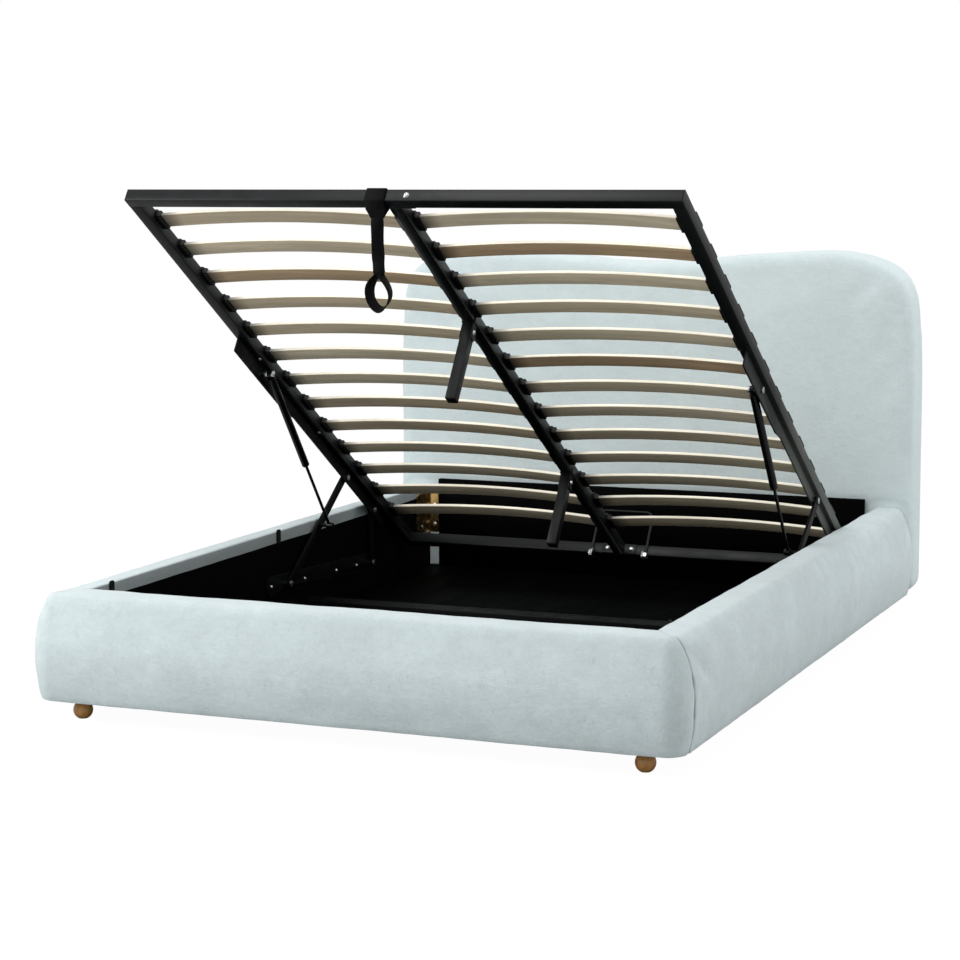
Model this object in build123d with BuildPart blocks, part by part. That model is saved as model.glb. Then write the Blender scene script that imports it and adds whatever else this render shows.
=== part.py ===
"""Double bed with an upholstered storage base and a gas-lift slatted frame, open.

Millimetres. X to the right seen from the foot end, Y from foot to head, +Z up.
The origin is under the middle of the bed, on the floor.
"""
import os
from math import atan2, cos, degrees, hypot, radians, sin, sqrt

from build123d import *

os.makedirs("parts", exist_ok=True)

# Driving dimensions of the whole bed
overall_length = 2155
overall_width = 1570
headboard_height = 1000
rail_top = 290
foot_height = 45
foot_end_height = 1170
side_rail_depth = 103
side_gap = 7
closed_gap_foot = 5.5
closed_gap_head = 71
closed_drop = 33

# Upholstered base
foot_rail_depth = 118
board_thickness = 18
lining_thickness = 2
flap_depth = 31
bulge_height = 155
top_setback = 38
bottom_setback = 14
top_edge_radius = 16
bottom_edge_radius = 14
corner_radius = 60
corner_seam_setback = 65
top_padding = 4
floor_board_thickness = 3
ledge_width = 42
ledge_thickness = 12
ledge_overlap = 27
cross_rail_width = 70
cross_rail_height = 38
cross_rail_wall = 2
cross_rail_share = 0.562
floor_gap = 1

# Headboard
headboard_thickness = 103.5
headboard_edge = 26
headboard_back_edge = 9
headboard_corner = 42
core_inset = 16
core_thickness = 18
back_cover_thickness = 2
# Right half of the outline: shares of the half width and of the height
headboard_outline_shares = [
    (0.00, 0.966), (0.16, 0.971), (0.32, 0.984), (0.48, 0.993), (0.64, 1.000), (0.76, 0.996),
    (0.85, 0.979), (0.915, 0.955), (0.953, 0.925), (0.977, 0.882), (0.990, 0.82), (0.996, 0.74), (1.00, 0.60),
]
lining_board_height = 310
lining_board_thickness = 16.5
lining_board_inset = 34

# Wooden feet and their plates
foot_neck_radius = 15
foot_neck_height = 5
centre_foot_radius = 24
foot_inset_side = 109
foot_inset_end = 68
rear_foot_inset_end = 57

# Corner brackets and their bolts
bracket_thickness = 3
bracket_drop = 20
bracket_height = 122
bracket_side_leg = 102
bracket_end_leg = 31
front_bracket_bottom = 110
front_bracket_height = 90
front_bracket_leg = 50
bolt_head_radius = 6.5
bolt_head_height = 3
bracket_bolt_rise_shares = (0.18, 0.66)
bracket_bolt_run_share = 0.66

# Rubber bumpers on the side walls
bumper_width = 18
bumper_height = 37
bumper_thickness = 4
bumper_rise = 4
bumper_place_shares = (0.0984, 0.4896)

# Square tubes of the lift frame
tube = 30
tube_wall = 1.5
cap_thickness = 2
end_plate_length = 100
end_plate_thickness = 3
beam_bolt_spacing = 70

# Slats and slat holders
slat_rows = 13
slat_first = 96
slat_last = 218
slat_width = 49
slat_thickness = 8
slat_crown = 15
slat_end_height = 18
slat_end_gap = 3.5
holder_length = 14
holder_wall = 3
holder_play = 0.3
holder_slope_play = 2.6
holder_lip_width = 54
holder_lip_length = 30
holder_lip_height = 5

# Legs under the centre beam
leg_width = 25
leg_station_shares = (0.2908, 0.7189)
leg_plug_height = 12
leg_plug_lip = 1.5
leg_bracket_thickness = 2.5
leg_bracket_drop = 42
leg_bolt_drop = 24
leg_ear_gap = 2
leg_floor_gap = 1

# Wire loop that keeps the mattress in place
stop_wire_radius = 3.5
stop_half_width = 80
stop_height = 130
stop_tail = 14
stop_corner_radius = 22
stop_nut_radius = 6.5
stop_nut_height = 7

# Lifting mechanism, the same on both sides
base_plate_thickness = 4
base_plate_width = 56
base_plate_lead = 89
base_plate_tail = 11
base_screw_shares = (0.0, 0.315, 0.63, 0.84)
base_screw_radius = 5.5
base_screw_head = 3
arm_thickness = 6
arm_width = 24
arm_wall_gap = 4
front_base_setback = 955.6
front_base_height = 143.87
rear_base_setback = 439.44
rear_base_height = 121.05
front_pivot_setback = 477
rear_pivot_setback = 272
pivot_drop = 18
steepest_angle = 60
tilt_halvings = 40
pin_radius = 5
pin_clearance = 0.05
pin_head_radius = 8
pin_head_height = 5
layer_gap = 0.6
flange_gap = 4
flange_thickness = 4
flange_foot_width = 19
flange_foot_thickness = 3
flange_lead = 164
flange_step_run = 334
flange_end_setback = 197
flange_deep = 44
flange_shallow = 33
flange_bolt_shares = (0.1093, 0.499)
flange_bolt_radius = 6
flange_bolt_height = 4
strut_inset = 19
strut_eye_setback = 1067
strut_arm_share = 0.54
strut_eye_radius = 9
strut_eye_thickness = 10
strut_body_radius = 10
strut_body_start = 14
strut_body_share = 0.804
strut_neck_radius = 4.5
rod_radius = 4
rod_overlap = 30
rod_bore_start = 30
strut_rim_radius = 2

# Pull strap on the foot tube
strap_place = 39
cuff_width = 48
cuff_thickness = 2
cuff_tab = 22
cuff_tab_share = 0.6
strap_width = 27
strap_thickness = 2.4
strap_length = 236
strap_waist = 88
strap_waist_width = 19
strap_split = 145
strap_loop_half_width = 33
strap_loop_depth = 24
strap_seam_gap = 0.4

# Places worked out from the driving dimensions
half_length = overall_length / 2
half_width = overall_width / 2
inner_half = half_width - side_rail_depth
foot_inner = -half_length + foot_rail_depth
head_front = half_length - headboard_thickness
base_bottom = foot_height
core_outer = lining_thickness + board_thickness
floor_top = base_bottom + floor_board_thickness
seam = -half_length + corner_seam_setback
frame_width = 2 * (inner_half - side_gap)
closed_height = rail_top - closed_drop
closed_foot_y = foot_inner + closed_gap_foot
frame_length = head_front - closed_gap_head - closed_foot_y
front_pivot_station = frame_length - front_pivot_setback
rear_pivot_station = frame_length - rear_pivot_setback
strut_eye_station = frame_length - strut_eye_setback
leg_stations = [frame_length * share for share in leg_station_shares]


def turn_of(start, end):
    """Angle in degrees of the line from start to end."""
    return degrees(atan2(end[1] - start[1], end[0] - start[0]))


def apart(start, end):
    """Distance between two places."""
    return hypot(end[0] - start[0], end[1] - start[1])


def along(start, end, share):
    """Point at a share of the line from start to end."""
    return (
        start[0] + share * (end[0] - start[0]),
        start[1] + share * (end[1] - start[1]),
    )


def closed_point(station, rise):
    """Y and Z of a point of the lift frame while it is closed."""
    return closed_foot_y + station, closed_height + rise


# Both arms keep their lengths, so the base pivots and the closed frame set the way it opens
front_base_pivot = (head_front - front_base_setback, front_base_height)
rear_base_pivot = (head_front - rear_base_setback, rear_base_height)
front_arm_length = apart(front_base_pivot, closed_point(front_pivot_station, -pivot_drop))
rear_arm_length = apart(rear_base_pivot, closed_point(rear_pivot_station, -pivot_drop))


def foot_end_at(turn):
    """Y and Z of the frame's foot end while both arms hold it at a tilt."""
    run = rear_pivot_station - front_pivot_station
    centre = (rear_base_pivot[0] - run * cos(turn), rear_base_pivot[1] + run * sin(turn))
    base = apart(front_base_pivot, centre)
    reach = (front_arm_length ** 2 - rear_arm_length ** 2 + base ** 2) / (2 * base)
    rise = sqrt(front_arm_length ** 2 - reach ** 2)
    y_way = (centre[0] - front_base_pivot[0]) / base
    z_way = (centre[1] - front_base_pivot[1]) / base
    pivot_y = front_base_pivot[0] + reach * y_way - rise * z_way
    pivot_z = front_base_pivot[1] + reach * z_way + rise * y_way
    return (
        pivot_y - front_pivot_station * cos(turn) + pivot_drop * sin(turn),
        pivot_z + front_pivot_station * sin(turn) + pivot_drop * cos(turn),
    )


low_tilt, high_tilt = 0, radians(steepest_angle)
for halving in range(tilt_halvings):
    tilt = (low_tilt + high_tilt) / 2
    if foot_end_at(tilt)[1] < foot_end_height:
        low_tilt = tilt
    else:
        high_tilt = tilt
open_foot_y = foot_end_at(tilt)[0]
lift_plane = Plane(
    origin=(0, open_foot_y, foot_end_height), x_dir=(1, 0, 0), z_dir=(0, sin(tilt), cos(tilt))
)


def open_point(station, rise):
    """Y and Z of a point of the lift frame while it is open."""
    return (
        open_foot_y + station * cos(tilt) + rise * sin(tilt),
        foot_end_height - station * sin(tilt) + rise * cos(tilt),
    )


def side_layer(side, near, far):
    """YZ plane and thickness of a layer between two distances from the middle of the bed."""
    return Plane.YZ.offset(min(side * near, side * far)), far - near


def keep(builder, name):
    """Label a finished piece and write its STEP file."""
    builder.part.label = name
    export_step(builder.part, f"parts/{name}.step")


# Pivots of the mechanism while the frame is open
front_frame_pivot = open_point(front_pivot_station, -pivot_drop)
rear_frame_pivot = open_point(rear_pivot_station, -pivot_drop)
strut_top = open_point(strut_eye_station, -pivot_drop)
strut_foot = along(front_base_pivot, front_frame_pivot, strut_arm_share)
shut_strut_foot = along(
    front_base_pivot, closed_point(front_pivot_station, -pivot_drop), strut_arm_share
)
strut_shut_length = apart(closed_point(strut_eye_station, -pivot_drop), shut_strut_foot)
strut_body_end = strut_body_share * strut_shut_length

# Layers of the mechanism, as distances from the middle of the bed
plate_outer = inner_half
plate_inner = plate_outer - base_plate_thickness
arm_outer = plate_inner - arm_wall_gap
arm_inner = arm_outer - arm_thickness
flange_outer = arm_inner - flange_gap
flange_inner = flange_outer - flange_thickness
strut_middle = flange_inner - strut_inset
eye_outer = strut_middle + strut_eye_thickness / 2
eye_inner = strut_middle - strut_eye_thickness / 2


def rail_curve(reach):
    """Rounded outer line of an upholstered rail, drawn from its bulge both ways."""
    bulge = (reach, bulge_height)
    TangentArc(bulge, (reach - top_setback, rail_top), tangent=(0, 1))
    TangentArc(bulge, (reach - bottom_setback, base_bottom), tangent=(0, -1))


def rail_section(reach, inner):
    """Closed section of the padding that wraps a rail's board from outside over its top."""
    board_inner = inner + lining_thickness
    board_outer = inner + core_outer
    board_top = rail_top - top_padding
    rail_curve(reach)
    Polyline(
        (reach - top_setback, rail_top), (inner, rail_top), (inner, rail_top - flap_depth),
        (board_inner, rail_top - flap_depth), (board_inner, board_top), (board_outer, board_top),
        (board_outer, base_bottom), (reach - bottom_setback, base_bottom),
    )


def round_near(sketch, x, y, radius):
    """Round the corner of a sketch that lies nearest to a point."""
    fillet(sketch.vertices().sort_by_distance(Vector(x, y))[0], radius)


def soften(sketch, reach):
    """Round the top and bottom edges of a rail's section."""
    round_near(sketch, reach - top_setback, rail_top, top_edge_radius)
    round_near(sketch, reach - bottom_setback, base_bottom, bottom_edge_radius)


def corner_sketch(plane):
    """Section of a rounded front corner, from its upright axis out to the bulge."""
    with BuildSketch(plane) as section:
        with BuildLine():
            rail_curve(corner_radius)
            Polyline(
                (corner_radius - top_setback, rail_top), (0, rail_top),
                (0, base_bottom), (corner_radius - bottom_setback, base_bottom),
            )
        make_face()
        soften(section, corner_radius)
    return section.sketch


sides = {"left": -1, "right": 1}
corner_x = half_width - corner_radius
corner_y = -half_length + corner_radius

# Padding of the foot rail, which wraps round both front corners to a seam on each side
with BuildPart() as foot_padding:
    with BuildSketch(Plane.YZ.offset(-corner_x)) as front_section:
        with BuildLine():
            rail_section(half_length, -foot_inner)
        make_face()
        soften(front_section, half_length)
        mirror(about=Plane.YZ, mode=Mode.REPLACE)
    extrude(amount=2 * corner_x)
    for side in sides.values():
        with Locations((side * inner_half, seam, base_bottom)):
            Box(
                corner_radius, corner_radius, rail_top - base_bottom, mode=Mode.SUBTRACT,
                align=(Align.MAX if side < 0 else Align.MIN, Align.MIN, Align.MIN),
            )
        turn_plane = Plane(origin=(side * corner_x, corner_y, 0), x_dir=(side, 0, 0), z_dir=(0, -side, 0))
        section = corner_sketch(turn_plane)
        revolve(section, axis=Axis((side * corner_x, corner_y, 0), (0, 0, -side)), revolution_arc=90)
        extrude(section, amount=side * (corner_y - seam))
keep(foot_padding, "foot_rail_upholstery")

# Padding, board and black lining of each side rail
for name, side in sides.items():
    with BuildPart() as side_padding:
        with BuildSketch(Plane.XZ.offset(-seam)) as side_section:
            with BuildLine():
                rail_section(half_width, inner_half)
            make_face()
            soften(side_section, half_width)
            if side < 0:
                mirror(about=Plane.YZ, mode=Mode.REPLACE)
        extrude(amount=-(head_front - seam))
    keep(side_padding, f"side_rail_upholstery_{name}")

    with BuildPart() as side_board:
        with Locations((side * (inner_half + lining_thickness), seam, base_bottom)):
            Box(
                board_thickness, head_front - seam, rail_top - top_padding - base_bottom,
                align=(Align.MAX if side < 0 else Align.MIN, Align.MIN, Align.MIN),
            )
    keep(side_board, f"side_rail_board_{name}")

with BuildPart() as foot_board:
    with Locations((0, foot_inner - lining_thickness, base_bottom)):
        Box(
            2 * inner_half, board_thickness, rail_top - top_padding - base_bottom,
            align=(Align.CENTER, Align.MAX, Align.MIN),
        )
keep(foot_board, "foot_rail_board")

with BuildPart() as lining:
    lining_height = rail_top - flap_depth - base_bottom
    for side in sides.values():
        with Locations((side * inner_half, seam, base_bottom)):
            Box(
                lining_thickness, head_front - seam, lining_height,
                align=(Align.MAX if side < 0 else Align.MIN, Align.MIN, Align.MIN),
            )
    with Locations((0, foot_inner, base_bottom)):
        Box(
            2 * inner_half, lining_thickness, lining_height,
            align=(Align.CENTER, Align.MAX, Align.MIN),
        )
keep(lining, "box_lining")

# Floor of the storage box: two boards on ledges and a channel across the middle
cross_rail_y = foot_inner + cross_rail_share * (head_front - foot_inner)
board_ends = {
    "front": (foot_inner + floor_gap, cross_rail_y - floor_gap),
    "rear": (cross_rail_y + floor_gap, head_front - floor_gap),
}
for name, (start, end) in board_ends.items():
    with BuildPart() as floor_board:
        with Locations((0, (start + end) / 2, base_bottom)):
            Box(
                2 * (inner_half - floor_gap), end - start, floor_board_thickness,
                align=(Align.CENTER, Align.CENTER, Align.MIN),
            )
    keep(floor_board, f"floor_board_{name}")

with BuildPart() as cross_rail:
    with Locations((0, cross_rail_y, floor_top)):
        Box(
            2 * (inner_half - floor_gap), cross_rail_width, cross_rail_height,
            align=(Align.CENTER, Align.CENTER, Align.MIN),
        )
    with Locations((0, cross_rail_y, floor_top)):
        Box(
            2 * inner_half, cross_rail_width - 2 * cross_rail_wall, cross_rail_height - cross_rail_wall,
            align=(Align.CENTER, Align.CENTER, Align.MIN), mode=Mode.SUBTRACT,
        )
keep(cross_rail, "floor_cross_rail")

with BuildPart() as ledges:
    ledge_length = head_front - foot_inner
    for side in sides.values():
        with Locations((side * (inner_half - ledge_overlap), foot_inner, base_bottom)):
            Box(
                ledge_width, ledge_length, ledge_thickness,
                align=(Align.MIN if side > 0 else Align.MAX, Align.MIN, Align.MAX),
            )
    between = 2 * (inner_half - ledge_overlap - floor_gap)
    cross_ledges = (
        (foot_inner - lining_thickness - board_thickness, Align.MIN),
        (cross_rail_y, Align.CENTER),
        (head_front, Align.MAX),
    )
    for ledge_y, place in cross_ledges:
        with Locations((0, ledge_y, base_bottom)):
            Box(between, ledge_width, ledge_thickness, align=(Align.CENTER, place, Align.MAX))
keep(ledges, "floor_ledges")

# Headboard: padding round a board, with a thin cloth over its back
def headboard_sketch(plane, inset):
    """Outline of the headboard, drawn in by an inset."""
    reach = half_width - inset
    height = headboard_height - inset
    bottom = base_bottom + inset
    crown = [
        (side * reach * across, height * up)
        for side, shares in ((-1, headboard_outline_shares[:0:-1]), (1, headboard_outline_shares))
        for across, up in shares
    ]
    with BuildSketch(plane) as outline:
        with BuildLine():
            Spline(crown, tangents=[(0, 1), (0, -1)])
            Polyline(crown[-1], (reach, bottom), (-reach, bottom), crown[0])
        make_face()
        for side in sides.values():
            round_near(outline, side * reach, bottom, headboard_corner)
    return outline.sketch


with BuildPart() as headboard:
    extrude(headboard_sketch(Plane.XZ.offset(-half_length), 0), amount=headboard_thickness)
    front_edges = headboard.faces().sort_by(Axis.Y)[0].edges()
    fillet(front_edges, headboard_edge)
    back_edges = headboard.faces().sort_by(Axis.Y)[-1].edges()
    fillet(back_edges, headboard_back_edge)
    pocket = headboard_sketch(Plane.XZ.offset(-half_length), core_inset)
    extrude(pocket, amount=core_thickness + back_cover_thickness, mode=Mode.SUBTRACT)
keep(headboard, "headboard_upholstery")

with BuildPart() as headboard_board:
    board_outline = headboard_sketch(Plane.XZ.offset(-half_length + back_cover_thickness), core_inset)
    extrude(board_outline, amount=core_thickness)
keep(headboard_board, "headboard_board")

with BuildPart() as back_cover:
    cover_outline = headboard_sketch(Plane.XZ.offset(-half_length), core_inset)
    extrude(cover_outline, amount=back_cover_thickness)
keep(back_cover, "headboard_back_cover")

with BuildPart() as lining_board:
    with Locations((0, head_front, floor_top)):
        Box(
            2 * (inner_half - lining_board_inset), lining_board_thickness, lining_board_height - floor_top,
            align=(Align.CENTER, Align.MAX, Align.MIN),
        )
keep(lining_board, "head_lining_board")

# Turned wooden feet: a ball, flat below, on a short neck
front_foot_y = -half_length + foot_inset_end
rear_foot_y = half_length - rear_foot_inset_end
ball_height = foot_height - foot_neck_height
ball_radius = hypot(foot_neck_radius, ball_height / 2)
for end_name, foot_y in (("front", front_foot_y), ("rear", rear_foot_y)):
    for name, side in sides.items():
        foot_x = side * (half_width - foot_inset_side)
        foot_plane = Plane(origin=(foot_x, foot_y, 0), x_dir=(1, 0, 0), z_dir=(0, -1, 0))
        with BuildPart() as wood_foot:
            with BuildSketch(foot_plane):
                with BuildLine():
                    Polyline(
                        (foot_neck_radius, 0), (0, 0), (0, foot_height),
                        (foot_neck_radius, foot_height), (foot_neck_radius, ball_height),
                    )
                    ThreePointArc(
                        (foot_neck_radius, ball_height), (ball_radius, ball_height / 2), (foot_neck_radius, 0)
                    )
                make_face()
            revolve(axis=Axis((foot_x, foot_y, 0), (0, 0, 1)))
        keep(wood_foot, f"foot_{end_name}_{name}")

with BuildPart() as centre_foot:
    foot_rise = base_bottom - ledge_thickness
    with Locations((0, cross_rail_y, 0)):
        Cylinder(centre_foot_radius, foot_rise, align=(Align.CENTER, Align.CENTER, Align.MIN))
        fillet(centre_foot.edges().filter_by(GeomType.CIRCLE).sort_by(Axis.Z)[0], foot_neck_height)
keep(centre_foot, "centre_support_foot")

# Angle brackets in the four corners, each with its bolt heads
bracket_bottom = rail_top - bracket_drop - bracket_height
with BuildPart() as rear_brackets:
    for side in sides.values():
        outward = Align.MAX if side > 0 else Align.MIN
        with Locations((side * inner_half, head_front, bracket_bottom)):
            Box(bracket_thickness, bracket_side_leg, bracket_height, align=(outward, Align.MAX, Align.MIN))
            Box(bracket_end_leg, bracket_thickness, bracket_height, align=(outward, Align.MAX, Align.MIN))
    upright = rear_brackets.edges().filter_by(Axis.X).group_by(Axis.Y)[0]
    fillet(upright, bracket_thickness * 2)
keep(rear_brackets, "rear_corner_brackets")

with BuildPart() as front_brackets:
    for side in sides.values():
        outward = Align.MAX if side > 0 else Align.MIN
        with Locations((side * inner_half, foot_inner, front_bracket_bottom)):
            for length, depth in ((bracket_thickness, front_bracket_leg), (front_bracket_leg, bracket_thickness)):
                Box(length, depth, front_bracket_height, align=(outward, Align.MIN, Align.MIN))
keep(front_brackets, "front_corner_brackets")

with BuildPart() as bracket_bolts:
    for side in sides.values():
        wall = side * (inner_half - bracket_thickness)
        for share in bracket_bolt_rise_shares:
            rear_z = bracket_bottom + bracket_height * share
            front_z = front_bracket_bottom + front_bracket_height * share
            head_y = head_front - bracket_side_leg * bracket_bolt_run_share
            front_y = foot_inner + front_bracket_leg * bracket_bolt_run_share
            head_axis = Plane(origin=(wall, head_y, rear_z), z_dir=(-side, 0, 0))
            end_x = side * (inner_half - bracket_end_leg / 2)
            end_axis = Plane(origin=(end_x, head_front - bracket_thickness, rear_z), z_dir=(0, -1, 0))
            front_axis = Plane(origin=(wall, front_y, front_z), z_dir=(-side, 0, 0))
            for plane in (head_axis, end_axis, front_axis):
                with BuildSketch(plane):
                    RegularPolygon(bolt_head_radius, 6)
                extrude(amount=bolt_head_height)
keep(bracket_bolts, "bracket_bolts")

# Rubber bumpers that keep the closed frame off the side walls
with BuildPart() as bumpers:
    for side in sides.values():
        plane, depth = side_layer(side, inner_half - bumper_thickness, inner_half)
        for share in bumper_place_shares:
            top = rail_top + bumper_rise
            with BuildSketch(plane):
                with Locations((-half_length + overall_length * share, top - bumper_height / 2)):
                    RectangleRounded(bumper_width, bumper_height, bumper_width / 3)
            extrude(amount=depth)
keep(bumpers, "wall_bumpers")

# Square tubes of the lift frame, drawn along X, Y and Z of the tilted frame
for name, side in sides.items():
    with BuildPart(lift_plane) as side_tube:
        outward = Align.MAX if side > 0 else Align.MIN
        length = frame_length - 2 * tube
        with Locations((side * frame_width / 2, tube, 0)):
            Box(tube, length, tube, align=(outward, Align.MIN, Align.MIN))
        with Locations((side * (frame_width / 2 - tube_wall), tube, tube_wall)):
            Box(
                tube - 2 * tube_wall, length, tube - 2 * tube_wall,
                align=(outward, Align.MIN, Align.MIN), mode=Mode.SUBTRACT,
            )
    keep(side_tube, f"side_tube_{name}")

for name, station in (("foot", 0), ("head", frame_length - tube)):
    with BuildPart(lift_plane) as end_tube:
        with Locations((0, station, 0)):
            Box(
                frame_width - 2 * cap_thickness, tube, tube,
                align=(Align.CENTER, Align.MIN, Align.MIN),
            )
        with Locations((0, station + tube_wall, tube_wall)):
            Box(
                frame_width, tube - 2 * tube_wall, tube - 2 * tube_wall,
                align=(Align.CENTER, Align.MIN, Align.MIN), mode=Mode.SUBTRACT,
            )
    keep(end_tube, f"{name}_tube")

with BuildPart(lift_plane) as tube_caps:
    for side in sides.values():
        outward = Align.MAX if side > 0 else Align.MIN
        for station in (0, frame_length - tube):
            with Locations((side * frame_width / 2, station, 0)):
                Box(cap_thickness, tube, tube, align=(outward, Align.MIN, Align.MIN))
keep(tube_caps, "tube_end_caps")

with BuildPart(lift_plane) as centre_beam:
    beam_start = tube
    beam_end = frame_length - tube
    with Locations((0, beam_start, 0)):
        Box(tube, beam_end - beam_start, tube, align=(Align.CENTER, Align.MIN, Align.MIN))
    with Locations((0, beam_start, tube_wall)):
        Box(
            tube - 2 * tube_wall, beam_end - beam_start, tube - 2 * tube_wall,
            align=(Align.CENTER, Align.MIN, Align.MIN), mode=Mode.SUBTRACT,
        )
    for station, inward in ((beam_start, Align.MIN), (beam_end, Align.MAX)):
        with Locations((0, station, 0)):
            Box(end_plate_length, end_plate_thickness, tube, align=(Align.CENTER, inward, Align.MIN))
keep(centre_beam, "centre_beam")

# Sprung slats: two columns of bent strips, each strip an arc between its holders
slat_inner = tube / 2 + slat_end_gap
slat_outer = frame_width / 2 - tube - slat_end_gap
slat_pitch = (frame_length - slat_first - slat_last) / (slat_rows - 1)
slat_stations = [slat_first + slat_pitch * row for row in range(slat_rows)]
for name, side in sides.items():
    with BuildPart() as slats:
        for station in slat_stations:
            y, z = open_point(station, 0)
            row_plane = Plane(origin=(0, y, z), x_dir=(1, 0, 0), z_dir=(0, -cos(tilt), sin(tilt)))
            with BuildSketch(row_plane):
                with BuildLine():
                    near = (side * slat_inner, slat_end_height)
                    far = (side * slat_outer, slat_end_height)
                    middle = (side * (slat_inner + slat_outer) / 2, slat_end_height + slat_crown)
                    near_top = (near[0], near[1] + slat_thickness)
                    far_top = (far[0], far[1] + slat_thickness)
                    ThreePointArc(near, middle, far)
                    ThreePointArc(near_top, (middle[0], middle[1] + slat_thickness), far_top)
                    Line(near, near_top)
                    Line(far, far_top)
                make_face()
            extrude(amount=-slat_width)
    keep(slats, f"slats_{name}")

holder_height = slat_thickness + 2 * holder_wall + holder_slope_play
holder_width = slat_width + 2 * (holder_play + holder_wall)
holder_bottom = slat_end_height - holder_wall - holder_play


holder_groups = {
    "side_left": [-(frame_width / 2 - tube)],
    "side_right": [frame_width / 2 - tube],
    "centre": [-tube / 2, tube / 2],
}
for place, faces in holder_groups.items():
    with BuildPart(lift_plane) as holders:
        for face_x in faces:
            inward = -1 if (face_x > 0) != (place == "centre") else 1
            from_face = Align.MIN if inward > 0 else Align.MAX
            over_tube = Align.MAX if inward > 0 else Align.MIN
            rows = [station + slat_width / 2 for station in slat_stations]
            with Locations(*[(face_x, row, holder_bottom) for row in rows]):
                Box(holder_length, holder_width, holder_height, align=(from_face, Align.CENTER, Align.MIN))
            reach = tube / 2 - holder_play if place == "centre" else holder_lip_length
            with Locations(*[(face_x + inward * holder_wall, row, tube) for row in rows]):
                Box(
                    holder_wall + reach, holder_lip_width, holder_lip_height,
                    align=(over_tube, Align.CENTER, Align.MIN),
                )
            pocket_x = face_x + inward * (slat_end_gap - holder_play)
            with Locations(*[(pocket_x, row, slat_end_height - holder_play) for row in rows]):
                Box(
                    holder_length, slat_width + 2 * holder_play,
                    slat_thickness + holder_slope_play + holder_play,
                    align=(from_face, Align.CENTER, Align.MIN), mode=Mode.SUBTRACT,
                )
    keep(holders, f"slat_holders_{place}")

# Two square legs bolted under the centre beam
leg_length = closed_height - floor_top - leg_floor_gap - leg_plug_lip
for leg_name, station in zip(("front", "rear"), leg_stations):
    with BuildPart(lift_plane) as leg:
        with Locations((0, station, 0)):
            Box(leg_width, leg_width, leg_length, align=(Align.CENTER, Align.CENTER, Align.MAX))
        with Locations((0, station, -leg_bracket_thickness)):
            Box(
                leg_width - 2 * tube_wall, leg_width - 2 * tube_wall, leg_length,
                align=(Align.CENTER, Align.CENTER, Align.MAX), mode=Mode.SUBTRACT,
            )
    keep(leg, f"centre_leg_{leg_name}")

with BuildPart(lift_plane) as leg_plugs:
    for station in leg_stations:
        with Locations((0, station, -leg_length)):
            Box(leg_width, leg_width, leg_plug_lip, align=(Align.CENTER, Align.CENTER, Align.MAX))
            Box(
                leg_width - 2 * tube_wall, leg_width - 2 * tube_wall, leg_plug_height,
                align=(Align.CENTER, Align.CENTER, Align.MIN),
            )
keep(leg_plugs, "leg_plugs")

leg_ear_top = holder_bottom - leg_ear_gap
with BuildPart(lift_plane) as leg_brackets:
    for station in leg_stations:
        for side in sides.values():
            with Locations((side * leg_width / 2, station, 0)):
                Box(
                    leg_bracket_thickness, leg_width, leg_bracket_drop,
                    align=(Align.MIN if side > 0 else Align.MAX, Align.CENTER, Align.MAX),
                )
            with Locations((side * tube / 2, station, -leg_bracket_thickness)):
                Box(
                    leg_bracket_thickness, leg_width, leg_ear_top + leg_bracket_thickness,
                    align=(Align.MIN if side > 0 else Align.MAX, Align.CENTER, Align.MIN),
                )
keep(leg_brackets, "leg_brackets")

# Wire loop at the head tube that stops the mattress from sliding down
stop_station = frame_length - tube - stop_wire_radius
with BuildPart() as mattress_stop:
    y, z = open_point(stop_station, 0)
    loop_plane = Plane(origin=(0, y, z), x_dir=(1, 0, 0), z_dir=(0, -cos(tilt), sin(tilt)))
    with BuildLine(loop_plane) as loop_path:
        FilletPolyline(
            (-stop_half_width, -stop_tail), (-stop_half_width, stop_height),
            (stop_half_width, stop_height), (stop_half_width, -stop_tail),
            radius=stop_corner_radius,
        )
    with BuildSketch(Plane(origin=loop_path.line @ 0, z_dir=loop_path.line % 0)):
        Circle(stop_wire_radius)
    sweep(path=loop_path.line)
keep(mattress_stop, "mattress_stop")

with BuildPart(lift_plane) as stop_nuts:
    for side in sides.values():
        with Locations((side * stop_half_width, stop_station, -layer_gap)):
            Cylinder(stop_nut_radius, stop_nut_height, align=(Align.CENTER, Align.CENTER, Align.MAX))
            Hole(stop_wire_radius)
keep(stop_nuts, "mattress_stop_nuts")


def disc(plane, centre, radius, depth):
    """Round bar or head between two layers of the mechanism."""
    with BuildSketch(plane) as round_section:
        with Locations(centre):
            Circle(radius)
    return extrude(round_section.sketch, amount=depth)


def bar_sketch(plane, start, end, width, holes):
    """Flat bar with round ends over two points, with its holes."""
    with BuildSketch(plane) as bar:
        with Locations(along(start, end, 1 / 2)):
            SlotCenterToCenter(apart(start, end), width, rotation=turn_of(start, end))
        for centre, radius in holes:
            with Locations(centre):
                Circle(radius, mode=Mode.SUBTRACT)
    return bar.sketch


hole_radius = pin_radius + pin_clearance

# Base plates and their screws, and the pins of both base pivots
plate_run = apart(front_base_pivot, rear_base_pivot)
plate_start = along(front_base_pivot, rear_base_pivot, -base_plate_lead / plate_run)
plate_end = along(front_base_pivot, rear_base_pivot, 1 + base_plate_tail / plate_run)
for name, side in sides.items():
    with BuildPart() as base_plate:
        plane, depth = side_layer(side, plate_inner, plate_outer)
        holes = [(front_base_pivot, pin_radius), (rear_base_pivot, pin_radius)]
        extrude(bar_sketch(plane, plate_start, plate_end, base_plate_width, holes), amount=depth)
    keep(base_plate, f"base_plate_{name}")

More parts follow.
